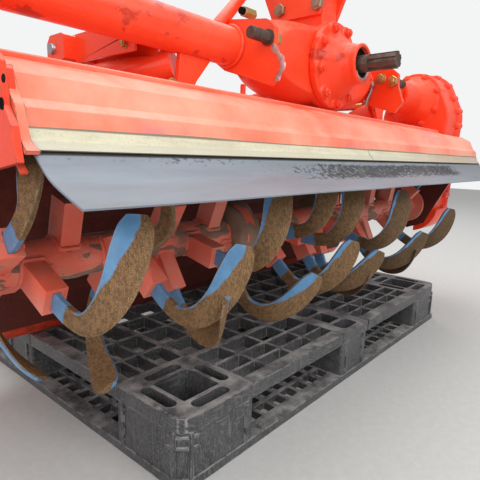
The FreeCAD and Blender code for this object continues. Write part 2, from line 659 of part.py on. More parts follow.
def hood_main():
    x0, x1 = HOOD_X0 + SIDE_THICK, CHAIN_X0 - SIDE_THICK
    skin = arc_band(ROTOR_Y, ROTOR_Z, HOOD_RADIUS, HOOD_RADIUS - HOOD_THICK, HOOD_BACK_DEG,
                    HOOD_FRONT_DEG, x0, x1)
    for angle in HOOD_RIB_DEG:
        rib = arc_band(ROTOR_Y, ROTOR_Z, HOOD_RADIUS + HOOD_RIB, HOOD_RADIUS, angle, angle + 3.5,
                       x0, x1)
        skin = skin.fuse(rib)
    return skin


def walk(start, steps):
    line = []
    for dy, dz in steps:
        start = (start[0] + dy, start[1] + dz)
        line.append(start)
    return line


def front_line():
    lip, top = arc_points(ROTOR_Y, ROTOR_Z, HOOD_RADIUS + LIP_LIFT, LIP_DEG, FRONT_TOP_DEG, 1)
    return [lip, top] + walk(top, FRONT_STEPS)


def strip_line():
    behind = offset_line(front_line(), -FRONT_SHEET)
    return behind[3:] + walk(front_line()[-1], STRIP_STEPS)


def flap_line():
    behind = offset_line(strip_line(), -STRIP_SHEET)
    return behind[2:] + walk(strip_line()[-1], FLAP_STEPS)


def front_cover():
    return bent_sheet(front_line(), -FRONT_SHEET, SHEET_X0, HOOD_X1)


def zinc_strip():
    right = bent_sheet(strip_line(), -STRIP_SHEET, SHEET_X0, STRIP_SPLIT_X)
    left = bent_sheet(strip_line(), -STRIP_SHEET, STRIP_SPLIT_X + STRIP_GAP, HOOD_X1)
    return right, left


def front_flap():
    return bent_sheet(flap_line(), -FLAP_SHEET, SHEET_X0, HOOD_X1)


def side_plate_left():
    x1 = CHAIN_X0
    x0 = x1 - SIDE_THICK
    top = front_line()[1]
    low = front_line()[-1]
    corners = ((top[0] + 6, top[1] - 4), (low[0] + 12, low[1] - 4),
               (low[0] + 26, low[1] - 72), (ROTOR_Y - 84, ROTOR_Z - 10),
               (ROTOR_Y - 60, ROTOR_Z - 62), (ROTOR_Y, ROTOR_Z - 86), (ROTOR_Y + 60, ROTOR_Z - 62),
               (ROTOR_Y + 86, ROTOR_Z), (HINGE_Y - 30, HINGE_Z - 60), (HINGE_Y - 22, HINGE_Z + 2),
               (ROTOR_Y + 130, ROTOR_Z + HOOD_RADIUS - 28), (ROTOR_Y, ROTOR_Z + HOOD_RADIUS + 8),
               (ROTOR_Y - 100, ROTOR_Z + HOOD_RADIUS - 14))
    plate = prism_x(corners, x0, x1).cut(front_cover())
    return plate.cut(rod_x(x0 - 1, x1 + 1, ROTOR_Y, ROTOR_Z, BEARING_R))


def knuckle_places(first):
    # Knuckles stand in turn on the hood and on the cover, each with a gap to the next.
    pitch = (HINGE_X1 - HINGE_X0) / KNUCKLES
    for i in range(first, KNUCKLES, 2):
        start = HINGE_X0 + i * pitch
        yield start + KNUCKLE_GAP / 2, start + KNUCKLE_LENGTH


def hinge_pin():
    return rod_x(HINGE_X0 - 4, HINGE_X1 + 4, HINGE_Y, HINGE_Z, HINGE_R)


def hood_knuckles():
    end = math.radians(HOOD_BACK_DEG)
    edge = (ROTOR_Y + HOOD_RADIUS * math.cos(end), ROTOR_Z + HOOD_RADIUS * math.sin(end))
    pieces = []
    for x0, x1 in knuckle_places(0):
        strap = prism_x(((edge[0] - 14, edge[1] + 14), (edge[0] - 1, edge[1] - 1),
                         (HINGE_Y - 3, HINGE_Z - 9), (HINGE_Y + 2, HINGE_Z + 12)), x0, x1)
        strap = strap.fuse(rod_x(x0, x1, HINGE_Y, HINGE_Z, KNUCKLE_R))
        skin = rod_x(x0 - 1, x1 + 1, ROTOR_Y, ROTOR_Z, HOOD_RADIUS)
        pieces.append(strap.cut(skin).cut(rod_x(x0 - 1, x1 + 1, HINGE_Y, HINGE_Z, HINGE_R)))
    return pieces


# Rear cover pieces
def rear_line():
    line = arc_points(ROTOR_Y, ROTOR_Z, REAR_RADIUS, REAR_TOP_DEG, REAR_LOW_DEG, REAR_STEPS)
    floor = PALLET_HEIGHT + SEAT_GAP + REAR_SHEET
    back = ROTOR_Y + REAR_RADIUS
    return line + [(back - 3, floor + 34), (back + 17, floor + 10), (back + 43, floor),
                   (back + 77, floor + 1)]


def rear_cover():
    x0, x1 = HOOD_X0 + SIDE_THICK + REAR_SIDE_GAP, CHAIN_X0 - SIDE_THICK - REAR_SIDE_GAP
    skin = bent_sheet(rear_line(), REAR_SHEET, x0, x1)
    for kx0, kx1 in knuckle_places(1):
        top = rear_line()[0]
        strap = prism_x(((HINGE_Y + KNUCKLE_R - 1, HINGE_Z), (HINGE_Y - 4, HINGE_Z - 9),
                         (top[0] - 3, top[1] - 12), (top[0] + 2, top[1] - 10)), kx0, kx1)
        strap = strap.fuse(rod_x(kx0, kx1, HINGE_Y, HINGE_Z, KNUCKLE_R))
        skin = skin.fuse(strap)
        skin = skin.cut(rod_x(kx0 - 1, kx1 + 1, HINGE_Y, HINGE_Z, HINGE_R + HINGE_CLEAR))
    return skin


def arm_x(side):
    return CENTRE_X + side * ARM_HALF


def rear_lug(side):
    # A clevis of two ears on the cover's back that holds the rod's eye on a pin.
    x = arm_x(side)
    ears = []
    cover = rear_cover()
    for way in (-1, 1):
        a = x + way * (ROD_EYE / 2 + 2)
        b = a + way * LUG_THICK
        ear = prism_x(((LUG_Y - 70, LUG_Z + 28), (LUG_Y + 6, LUG_Z + 14), (LUG_Y + 14, LUG_Z),
                       (LUG_Y + 6, LUG_Z - 14), (LUG_Y - 70, LUG_Z - 40)), min(a, b), max(a, b))
        inside = rod_x(min(a, b) - 1, max(a, b) + 1, ROTOR_Y, ROTOR_Z, REAR_RADIUS)
        ears.append(ear.cut(inside).cut(cover))
    pin = rod_x(x - ROD_EYE / 2 - 2 - LUG_THICK - 4, x + ROD_EYE / 2 + 2 + LUG_THICK + 4, LUG_Y,
                LUG_Z, LUG_PIN_R)
    return ears[0].fuse(pin).fuse(ears[1])


def rod_direction():
    line = V(0, ARM_END_Y - LUG_Y, ARM_PIN_Z - LUG_Z)
    line.normalize()
    return line


def rod_point(side, distance):
    start = V(arm_x(side), LUG_Y, LUG_Z) + rod_direction() * distance
    return (start.x, start.y, start.z)


def rod_length():
    return math.hypot(ARM_END_Y - LUG_Y, ARM_PIN_Z - LUG_Z)


def spring_rod(side):
    x = arm_x(side)
    eye = rod_x(x - ROD_EYE / 2, x + ROD_EYE / 2, LUG_Y, LUG_Z, EYE_R)
    stem = rod(rod_point(side, EYE_R - 4), rod_point(side, rod_length() + ROD_ABOVE), ROD_R)
    collar = rod(rod_point(side, SPRING_START - 6), rod_point(side, SPRING_START), SPRING_R + 3)
    stop = SPRING_START + SPRING_LENGTH
    upper = rod(rod_point(side, stop), rod_point(side, stop + SPRING_CAP), SPRING_R + 1)
    body = eye.fuse(stem).fuse(collar).fuse(upper)
    return body.cut(rod_x(x - ROD_EYE, x + ROD_EYE, LUG_Y, LUG_Z, LUG_PIN_R + EYE_CLEAR))


def cover_spring(side):
    return tube(rod_point(side, SPRING_START), rod_point(side, SPRING_START + SPRING_LENGTH),
                SPRING_R, ROD_R)


def trunnion(side):
    x = arm_x(side)
    half = CLEVIS_WIDTH / 2 - CLEVIS_SHEET - 1
    body = rod_x(x - half, x + half, ARM_END_Y, ARM_PIN_Z, TRUNNION_R)
    body = body.fuse(rod_x(x - CLEVIS_WIDTH / 2 - 7, x + CLEVIS_WIDTH / 2 + 7, ARM_END_Y, ARM_PIN_Z,
                           TRUNNION_PIN_R))
    end = rod_length() - SLEEVE_LENGTH
    body = body.fuse(rod(rod_point(side, end), rod_point(side, rod_length()), TRUNNION_R))
    body = body.fuse(rod(rod_point(side, end), rod_point(side, end + SPRING_CAP), SPRING_R + 3))
    return body.cut(rod(rod_point(side, end - 1), rod_point(side, rod_length() + 40),
                        ROD_R + ROD_BORE_CLEAR))


def arm_blank(side):
    x = arm_x(side)
    return block(x - ARM_WIDTH / 2, x + ARM_WIDTH / 2, AXIS_Y + 20, ARM_END_Y - CLEVIS_FRONT,
                 ARM_PIN_Z - ARM_HEIGHT / 2, ARM_PIN_Z + ARM_HEIGHT / 2)


def rod_arm(side):
    # A channel, open below, that ends in a wider clevis round the trunnion.
    x = arm_x(side)
    half = ARM_WIDTH / 2
    wide = CLEVIS_WIDTH / 2
    front = ARM_END_Y - CLEVIS_FRONT
    back = ARM_END_Y + CLEVIS_BACK
    z0 = ARM_PIN_Z - ARM_HEIGHT / 2
    z1 = ARM_PIN_Z + ARM_HEIGHT / 2
    inside = block(x - half + ARM_SHEET, x + half - ARM_SHEET, AXIS_Y + 19, front + 1, z0 - 1,
                   z1 - ARM_SHEET)
    body = arm_blank(side).cut(inside)
    clevis = prism_x(((front, z0 + 6), (front, z1 - 4), (front + 8, z1), (back - 12, z1),
                      (back, z1 - 14), (back, z0 + 14), (back - 12, z0), (front + 12, z0)),
                     x - wide, x + wide)
    clevis = clevis.cut(block(x - wide + CLEVIS_SHEET, x + wide - CLEVIS_SHEET,
                              front + CLEVIS_SHEET, back + 1, z0 - 1, z1 + 1))
    body = body.fuse(clevis)
    body = body.cut(rod_x(x - wide - 1, x + wide + 1, ARM_END_Y, ARM_PIN_Z,
                          TRUNNION_PIN_R + TRUNNION_CLEAR))
    return body.cut(rod_x(x - half - 1, x + half + 1, AXIS_Y, AXIS_Z, BEAM_R))


# Stays and small pieces
def hood_bracket(side):
    # A gusset under the beam that narrows to a pad on the hood.
    x = CENTRE_X + side * BRACKET_HALF
    top = AXIS_Z - BEAM_R + 4
    pad = ROTOR_Z + HOOD_RADIUS
    body = prism_y(((x - side * 43, top), (x + side * 37, top), (x + side * 43, pad + 2),
                    (x + side * 7, pad + 2), (x - side * 3, pad + 20)), AXIS_Y - 6, AXIS_Y + 4)
    body = body.fuse(block(min(x - side * 2, x + side * 56), max(x - side * 2, x + side * 56),
                           AXIS_Y - 34, AXIS_Y + 34, pad - 10, pad + 8))
    return body.cut(axle_blank()).cut(hood_blank()).cut(hood_main())


def hood_blank():
    return rod_x(HOOD_X0, CHAIN_X0, ROTOR_Y, ROTOR_Z, HOOD_RADIUS)


def hood_stay(side):
    upper = (CENTRE_X + side * STAY_UPPER, AXIS_Y + 16, AXIS_Z - 50)
    lower = (CENTRE_X + side * STAY_LOWER, HINGE_Y - 46, AXIS_Z - 84)
    bar = rod(upper, lower, STAY_R)
    foot = prism_x(((HINGE_Y - 84, HINGE_Z + 4), (HINGE_Y - 40, HINGE_Z - 6),
                    (HINGE_Y - 20, lower[2] - 20), (HINGE_Y - 30, lower[2] + 20),
                    (HINGE_Y - 66, lower[2] + 20)),
                   lower[0] - 5, lower[0] + 5)
    stay = bar.fuse(foot).cut(hood_blank()).cut(hood_main())
    return stay.cut(hood_bracket(side)).cut(axle_blank()).cut(arm_blank(side))


def axle_blank():
    return rod_x(HOOD_X0, CHAIN_X0, AXIS_Y, AXIS_Z, BEAM_R)


if __name__ == "__main__":
    save("pallet_deck", pallet_deck())
    save("pallet_legs", *[pallet_leg(*place) for place in leg_places()])
    save("pallet_base", pallet_base())
    save("rotor_pipe", rotor_pipe().fuse(rotor_stubs()[0]).fuse(rotor_stubs()[1]))
    save("tines", *[spin(tine(ROTOR_X0 + place, side), angle) for place, angle, side in TINES])
    save("gear_case", gear_case())
    save("gear_case_cover", gear_case_cover())
    save("pto_shaft", pto_shaft())
    save("case_struts", case_strut(-1), case_strut(1))
    save("beam_right", axle_beam(HOOD_X0 - 6, CENTRE_X - CASE_HALF))
    save("beam_left", axle_beam(CENTRE_X + CASE_HALF, CHAIN_X0 - 4))
    save("chain_case", chain_case())
    save("chain_case_cover", chain_case_cover())
    save("chain_case_guard", chain_case_guard())
    save("side_plate_right", side_plate())
    save("side_plate_left", side_plate_left())
    save("bearing_housing", bearing_housing())
    save("hood_main", hood_main())
    save("hood_front_cover", front_cover())
    save("zinc_strip", *zinc_strip())
    save("front_flap", front_flap())
    save("hinge_pin", hinge_pin())
    save("hood_knuckles", *hood_knuckles())
    save("rear_cover", rear_cover())
    save("rear_lugs", rear_lug(-1), rear_lug(1))
    for name, side in (("right", -1), ("left", 1)):
        save("hitch_plate_" + name, hitch_plate(side))
        save("lower_pin_" + name, lower_pin(side))
        save("mast_plate_" + name, mast_plate(side))
        save("mast_brace_" + name, mast_brace(side))
        save("rod_arm_" + name, rod_arm(side))
        save("trunnion_" + name, trunnion(side))
        save("spring_rod_" + name, spring_rod(side))
        save("cover_spring_" + name, cover_spring(side))
        save("hood_bracket_" + name, hood_bracket(side))
        save("hood_stay_" + name, hood_stay(side))
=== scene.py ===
import json
import math

import bmesh
import bpy
from bpy.props import FloatProperty, FloatVectorProperty, IntProperty, PointerProperty
from mathutils import Matrix, Vector, noise
from mathutils.geometry import tessellate_polygon


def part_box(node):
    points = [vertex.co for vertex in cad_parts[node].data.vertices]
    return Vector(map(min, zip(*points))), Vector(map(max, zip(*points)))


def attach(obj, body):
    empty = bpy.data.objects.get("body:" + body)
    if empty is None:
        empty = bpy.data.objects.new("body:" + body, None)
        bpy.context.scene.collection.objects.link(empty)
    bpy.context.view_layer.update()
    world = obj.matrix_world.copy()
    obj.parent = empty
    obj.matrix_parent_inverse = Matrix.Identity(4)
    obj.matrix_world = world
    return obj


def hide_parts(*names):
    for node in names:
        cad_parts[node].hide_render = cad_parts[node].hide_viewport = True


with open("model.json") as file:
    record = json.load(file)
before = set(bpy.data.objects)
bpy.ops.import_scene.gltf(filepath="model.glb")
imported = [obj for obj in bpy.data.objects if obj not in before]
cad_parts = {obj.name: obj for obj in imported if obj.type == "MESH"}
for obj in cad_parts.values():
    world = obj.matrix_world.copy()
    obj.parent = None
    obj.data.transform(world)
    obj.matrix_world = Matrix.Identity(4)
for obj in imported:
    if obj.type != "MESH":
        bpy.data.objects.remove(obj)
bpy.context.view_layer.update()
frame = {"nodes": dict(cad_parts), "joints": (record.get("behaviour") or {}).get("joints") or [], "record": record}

bl_info = {
    "name": "Rotavator dressing",
    "version": (1, 0, 0),
    "blender": (4, 5, 0),
    "location": "3D View > Sidebar > Rotavator",
    "description": "Finishes a rotavator and the pallet it stands on",
    "category": "Object",
}

# Places taken from the frame, in metres
JOINT_AT = {joint["name"]: Vector(joint["pos_m"]) for joint in frame["joints"]}
ROTOR = JOINT_AT["rotor_spin"]
SHAFT = JOINT_AT["input_spin"]
AXIS = Vector((SHAFT.x, (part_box("beam_right")[0][1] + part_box("beam_right")[1][1]) / 2, SHAFT.z))
SLOT_OF = {part["node"]: part["material_slot"] for part in frame["record"]["subparts"]}
X = Vector((1, 0, 0))
Y = Vector((0, 1, 0))
Z = Vector((0, 0, 1))
MM = 0.001
MACHINE_MIDDLE = Vector((0, -0.3, 0.5))
BEAM_WELD_R = 0.0372
# Where the zinc strip is broken in two, along X
STRIP_BREAK = -0.012


# Sizes and colours that a user would change
class PaintSettings(bpy.types.PropertyGroup):
    """Colours of the finishes."""

    enamel: FloatVectorProperty(name="Enamel", description="Orange-red paint of the machine",
                                subtype="COLOR", min=0, max=1, default=(0.95, 0.054, 0.012))
    faded: FloatVectorProperty(name="Faded enamel",
                               description="The same paint where sun has paled it",
                               subtype="COLOR", min=0, max=1, default=(0.96, 0.092, 0.030))
    primer: FloatVectorProperty(name="Bare spots", description="Colour under chipped paint",
                                subtype="COLOR", min=0, max=1, default=(0.16, 0.085, 0.055))
    tine_blue: FloatVectorProperty(name="Tine paint", description="Blue paint left on the tines",
                                   subtype="COLOR", min=0, max=1, default=(0.12, 0.30, 0.54))
    tine_brown: FloatVectorProperty(name="Tine steel",
                                    description="Ground and rusted faces of the tines",
                                    subtype="COLOR", min=0, max=1, default=(0.245, 0.130, 0.055))
    soil: FloatVectorProperty(name="Dry soil", description="Soil on the rotor",
                              subtype="COLOR", min=0, max=1, default=(0.33, 0.225, 0.165))
    plating: FloatVectorProperty(name="Yellow plating", description="Nuts, bolts and pins",
                                 subtype="COLOR", min=0, max=1, default=(0.55, 0.36, 0.13))
    zinc: FloatVectorProperty(name="Clamping strip", description="Cream strip over the flap",
                              subtype="COLOR", min=0, max=1, default=(0.76, 0.71, 0.52))
    flap: FloatVectorProperty(name="Flap", description="Grey rubber flap",
                              subtype="COLOR", min=0, max=1, default=(0.225, 0.255, 0.295))
    pallet: FloatVectorProperty(name="Pallet", description="Black moulded plastic",
                                subtype="COLOR", min=0, max=1, default=(0.034, 0.034, 0.037))
    wear: FloatProperty(name="Wear", description="How far edges are worn", subtype="FACTOR",
                        min=0, max=1, default=0.55)


class TineSettings(bpy.types.PropertyGroup):
    """Sizes of the tine blades' finer form."""

    thick: FloatProperty(name="Thickness", description="Thickness of a blade", unit="LENGTH",
                         default=0.009)
    sections: IntProperty(name="Sections", description="Sections along a blade", min=8, max=60,
                          default=34)


class StageSettings(bpy.types.PropertyGroup):
    """Floor, light and camera."""

    floor: FloatVectorProperty(name="Floor", description="Colour of the floor", subtype="COLOR",
                               min=0, max=1, default=(0.62, 0.61, 0.59))
    daylight: FloatProperty(name="Daylight", description="Strength of the even light", min=0,
                            default=0.58)
    eye: FloatVectorProperty(name="Camera place", description="Where the camera stands",
                             subtype="TRANSLATION", unit="LENGTH",
                             default=(-0.9557, -1.0029, 0.5049))
    yaw: FloatProperty(name="Yaw", description="Heading, from +Y towards +X", subtype="ANGLE",
                       default=math.radians(49.18))
    pitch: FloatProperty(name="Pitch", description="Tilt below the horizon", subtype="ANGLE",
                         default=math.radians(10.275))
    roll: FloatProperty(name="Roll", description="Turn about the view", subtype="ANGLE",
                        default=math.radians(1.556))
    lens: FloatProperty(name="Lens", description="Focal length in mm on a 36 mm sensor",
                        default=34.09)


# Mesh helpers
def limited(value, low=0.0, high=1.0):
    """The value, kept between low and high."""
    return min(high, max(low, value))


def basis(axis):
    """Two directions square to the axis and to each other."""
    axis = Vector(axis).normalized()
    side = axis.cross(Z if abs(axis.z) < 0.9 else X).normalized()
    return side, axis.cross(side)


def spoke(side, up, angle):
    """Direction at an angle between two directions."""
    return side * math.cos(angle) + up * math.sin(angle)


def round_about(centre, radius, angle, x=0.0):
    """Place at x on a circle round an axis that runs along X."""
    return Vector((x, centre.y + radius * math.cos(angle), centre.z + radius * math.sin(angle)))


class Form:
    """Corners and faces of one piece, gathered from several shapes."""

    def __init__(self):
        self.corners = []
        self.faces = []
        self.marks = []

    def add(self, corners, faces):
        start = len(self.corners)
        self.corners.extend(Vector(corner) for corner in corners)
        self.faces.extend(tuple(start + i for i in face) for face in faces)

    def skin(self, rings):
        """Joins rings of as many points each into a closed surface."""
        count = len(rings[0])
        faces = []
        for row in range(len(rings) - 1):
            for i in range(count):
                j = (i + 1) % count
                faces.append((row * count + i, row * count + j,
                              (row + 1) * count + j, (row + 1) * count + i))
        faces.append(tuple(reversed(range(count))))
        last = (len(rings) - 1) * count
        faces.append(tuple(range(last, last + count)))
        self.add([point for ring in rings for point in ring], faces)

    def lathe(self, profile, origin, axis, sides=24, turn=0.0):
        """Turns (distance, radius) pairs round the axis."""
        axis = Vector(axis).normalized()
        side, up = basis(axis)
        rings = []
        for distance, radius in profile:
            ring = []
            for i in range(sides):
                a = turn + 2 * math.pi * i / sides
                ring.append(Vector(origin) + axis * distance
                            + spoke(side, up, a) * max(radius, 0.00005))
            rings.append(ring)
        self.skin(rings)

    def sweep(self, path, radius, sides=10):
        """A round bar along a path. radius is a number, or a function of the share of the way."""
        rings = []
        path = [Vector(point) for point in path]
        normal = None
        for i, point in enumerate(path):
            ahead = path[min(i + 1, len(path) - 1)] - path[max(i - 1, 0)]
            ahead.normalize()
            if normal is None:
                normal = basis(ahead)[0]
            normal = (normal - ahead * normal.dot(ahead)).normalized()
            other = ahead.cross(normal)
            size = radius(i / (len(path) - 1)) if callable(radius) else radius
            rings.append([point + spoke(normal, other, 2 * math.pi * k / sides) * size
                          for k in range(sides)])
        self.skin(rings)

    def bolt(self, seat, axis, size, turn=0.0, stub=0.0, washer=True):
        """A hexagon head on its washer. size is the thread's radius."""
        seat = Vector(seat)
        axis = Vector(axis).normalized()
        lift = 0.0
        if washer:
            lift = 0.28 * size
            self.lathe(((0, 2.15 * size), (lift * 0.8, 2.15 * size), (lift, 2.0 * size)),
                       seat, axis, 20)
        head = 1.25 * size
        self.lathe(((0, 1.72 * size), (0.1 * head, 1.78 * size), (0.78 * head, 1.78 * size),
                    (head, 1.5 * size)), seat + axis * lift, axis, 6, turn)
        if stub:
            self.lathe(((0, size), (stub * 0.85, size), (stub, 0.8 * size)),
                       seat + axis * (lift + head), axis, 14)

    def box(self, x0, x1, y0, y1, z0, z1):
        self.skin([[(x0, y0, z), (x1, y0, z), (x1, y1, z), (x0, y1, z)] for z in (z0, z1)])

    def piece(self, name, body, look, slot, smooth, bevel=0.0):
        """Makes the object. Edges under smooth degrees are shaded round."""
        mesh = bpy.data.meshes.new(name)
        mesh.from_pydata([tuple(corner) for corner in self.corners], [], self.faces)
        if self.marks:
            paint = mesh.attributes.new("paint_left", "FLOAT", "POINT")
            paint.data.foreach_set("value", self.marks)
        mesh.validate()
        made = bpy.data.objects.new(name, mesh)
        bpy.context.scene.collection.objects.link(made)
        tidy_mesh(mesh, smooth, bevel)
        mesh.materials.append(finish(look))
        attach(made, body)
        return made


def tidy_mesh(mesh, smooth, bevel):
    """Joins double corners, rounds sharp edges and sets which ones are shaded round."""
    work = bmesh.new()
    work.from_mesh(mesh)
    bmesh.ops.remove_doubles(work, verts=work.verts, dist=0.00001)
    bmesh.ops.recalc_face_normals(work, faces=work.faces)
    if bevel:
        sharp = [edge for edge in work.edges
                 if len(edge.link_faces) == 2 and edge.calc_face_angle() > math.radians(30)]
        bmesh.ops.bevel(work, geom=sharp, offset=bevel, segments=2, affect="EDGES",
                        clamp_overlap=True)
    for face in work.faces:
        face.smooth = True
    for edge in work.edges:
        if len(edge.link_faces) == 2:
            edge.smooth = edge.calc_face_angle() < math.radians(smooth)
    work.to_mesh(mesh)
    work.free()


def cast_skin(made, grain, rounds):
    """Softens a form's edges as a casting's are."""
    merge = made.modifiers.new("one_skin", "REMESH")
    merge.mode = "VOXEL"
    merge.voxel_size = grain
    merge.use_smooth_shade = True
    soften = made.modifiers.new("soft", "SMOOTH")
    soften.factor = 0.5
    soften.iterations = rounds


# Shader wiring
class Wiring:
    """Adds and joins nodes in one tree."""

    def __init__(self, tree):
        self.tree = tree

    def put(self, socket, value):
        if isinstance(value, bpy.types.NodeSocket):
            self.tree.links.new(value, socket)
        elif socket.type == "RGBA":
            socket.default_value = (*value[:3], 1.0)
        else:
            socket.default_value = value

    def node(self, kind, inputs=None, **settings):
        made = self.tree.nodes.new(kind)
        for name, value in settings.items():
            setattr(made, name, value)
        for name, value in (inputs or {}).items():
            self.put(made.inputs[name], value)
        return made

    def math(self, operation, first, second, clamp=False):
        return self.node("ShaderNodeMath", {0: first, 1: second}, operation=operation,
                         use_clamp=clamp).outputs[0]

    def plus(self, first, second, clamp=False):
        return self.math("ADD", first, second, clamp)

    def minus(self, first, second):
        return self.math("SUBTRACT", first, second)

    def times(self, first, second):
        return self.math("MULTIPLY", first, second)

    def most(self, first, second):
        return self.math("MAXIMUM", first, second)

    def vector(self, operation, *inputs):
        made = self.node("ShaderNodeVectorMath", dict(enumerate(inputs)), operation=operation)
        return made.outputs["Value" if operation in ("DOT_PRODUCT", "LENGTH") else "Vector"]

    def stretch(self, vector, scale):
        return self.vector("MULTIPLY", vector, scale)

    def parts(self, vector):
        return self.node("ShaderNodeSeparateXYZ", {0: vector}).outputs

    def ramp(self, value, low, high):
        """Rises smoothly from 0 at low to 1 at high."""
        return self.node("ShaderNodeMapRange", {"Value": value, "From Min": low, "From Max": high},
                         clamp=True, interpolation_type="SMOOTHSTEP").outputs[0]

    def blend(self, factor, first, second):
        return self.node("ShaderNodeMix", {0: factor, 6: first, 7: second},
                         data_type="RGBA").outputs[2]

    def noise(self, vector, scale, detail=3.0, rough=0.55):
        return self.node("ShaderNodeTexNoise", {"Vector": vector, "Scale": scale,
                                                "Detail": detail, "Roughness": rough}).outputs[0]


def shader_group(name, outputs, **numbers):
    """Starts a node group that takes a Vector and the numbers given."""
    tree = bpy.data.node_groups.new(name, "ShaderNodeTree")
    tree.interface.new_socket("Vector", in_out="INPUT", socket_type="NodeSocketVector")
    for label, value in numbers.items():
        socket = tree.interface.new_socket(label, in_out="INPUT", socket_type="NodeSocketFloat")
        socket.default_value = value
    for label in outputs:
        tree.interface.new_socket(label, in_out="OUTPUT", socket_type="NodeSocketFloat")
    wires = Wiring(tree)
    return wires, wires.node("NodeGroupInput").outputs, wires.node("NodeGroupOutput").inputs


def edge_wear_group():
    """Mask of worn edges, broken up by noise."""
    wires, given, result = shader_group("edge_wear", ("Mask",), Width=0.003, Amount=0.5, Scale=60.0)
    bevel = wires.node("ShaderNodeBevel", {"Radius": given["Width"]}, samples=4)
    normal = wires.node("ShaderNodeNewGeometry").outputs["Normal"]
    edge = wires.minus(1.0, wires.vector("DOT_PRODUCT", bevel.outputs[0], normal))
    grain = wires.noise(given["Vector"], given["Scale"], 4.0, 0.65)
    level = wires.times(wires.times(edge, 6.0), wires.ramp(grain, 0.42, 0.62))
    wires.put(result["Mask"], wires.ramp(wires.times(level, given["Amount"]), 0.12, 0.4))


def patches_group():
    """Soft-edged patches and fine speckle from noise."""
    wires, given, result = shader_group("patches", ("Mask", "Speckle"), Scale=6.0, Cover=0.5,
                                        Softness=0.1)
    broad = wires.noise(given["Vector"], given["Scale"], 6.0, 0.62)
    middle = wires.minus(1.0, given["Cover"])
    low = wires.minus(middle, given["Softness"])
    high = wires.plus(middle, given["Softness"])
    wires.put(result["Mask"], wires.ramp(broad, low, high))
    wires.put(result["Speckle"], wires.noise(given["Vector"], wires.times(given["Scale"], 30.0),
                                             3.0, 0.7))


def scratches_group():
    """Thin scratches running one way."""
    wires, given, result = shader_group("scratches", ("Mask",), Density=0.3)
    bent = wires.noise(given["Vector"], 3.0, 2.0)
    moved = wires.vector("ADD", given["Vector"], bent)
    lines = wires.noise(wires.stretch(moved, (14.0, 260.0, 260.0)), 1.0, 2.0, 0.5)
    level = wires.plus(0.66, wires.times(given["Density"], -0.1))
    wires.put(result["Mask"], wires.ramp(lines, level, wires.plus(level, 0.05)))


def dust_group():
    """Dust that lies on what faces up."""
    wires, given, result = shader_group("dust", ("Mask",), Amount=0.5)
    normal = wires.node("ShaderNodeNewGeometry").outputs["Normal"]
    lies = wires.ramp(wires.parts(normal)["Z"], 0.1, 0.95)
    grain = wires.ramp(wires.noise(given["Vector"], 22.0, 6.0, 0.7), 0.3, 0.75)
    wires.put(result["Mask"], wires.times(wires.times(lies, given["Amount"]), grain))


def facing_rotor_group():
    """Mask of faces turned to the rotor's middle, as far from its axis as Reach."""
    wires, given, result = shader_group("facing_rotor", ("Mask",), Reach=1.0)
    normal = wires.node("ShaderNodeTexCoord").outputs["Normal"]
    inwards = wires.vector("SUBTRACT", (-0.03, ROTOR.y, ROTOR.z), given["Vector"])
    match = wires.vector("DOT_PRODUCT", wires.vector("NORMALIZE", inwards), normal)
    ragged = wires.noise(given["Vector"], 40.0, 4.0, 0.7)
    level = wires.plus(match, wires.times(wires.minus(ragged, 0.5), 0.2))
    flat = wires.vector("SUBTRACT", given["Vector"], (0, ROTOR.y, ROTOR.z))
    away = wires.vector("LENGTH", wires.stretch(flat, (0, 1, 1)))
    near = wires.ramp(wires.minus(given["Reach"], away), 0.0, 0.006)
    wires.put(result["Mask"], wires.times(wires.ramp(level, 0.06, 0.22), near))


class Finish(Wiring):
    """A material whose base colour is laid on in layers."""

    def __init__(self, name):
        material = bpy.data.materials.new(name + "_finish")
        material.use_nodes = True
        super().__init__(material.node_tree)
        self.tree.nodes.clear()
        self.shader = self.node("ShaderNodeBsdfPrincipled")
        self.node("ShaderNodeOutputMaterial", {"Surface": self.shader.outputs[0]})
        self.place = self.node("ShaderNodeTexCoord").outputs["Object"]
        self.base = None

    def group(self, name, vector=None, **numbers):
        made = self.node("ShaderNodeGroup", node_tree=bpy.data.node_groups[name])
        self.put(made.inputs["Vector"], self.place if vector is None else vector)
        for label, value in numbers.items():
            self.put(made.inputs[label], value)
        return made.outputs

    def patches(self, scale, cover, softness, vector=None):
        return self.group("patches", vector, Scale=scale, Cover=cover, Softness=softness)

    def worn(self, width, amount, scale):
        return self.group("edge_wear", Width=width, Amount=amount, Scale=scale)["Mask"]

    def layer(self, mask, tint, share=1.0):
        """Lays a colour over the base where the mask is, as strongly as share says."""
        if share < 1.0:
            mask = self.times(mask, share)
        self.base = self.blend(mask, self.base, tint)

    def end(self, rough, height=None, strength=0.0, distance=0.0, **others):
        """Joins colour, roughness, relief and other values to the shader."""
        if height is not None:
            others["Normal"] = self.node("ShaderNodeBump", {
                "Strength": strength, "Distance": distance, "Height": height}).outputs[0]
        values = {"Base_Color": self.base, "Roughness": rough, **others}
        for label, value in values.items():
            self.put(self.shader.inputs[label.replace("_", " ")], value)


def shade(tint, share):
    """The tint, darker or lighter."""
    return [share * value for value in tint]


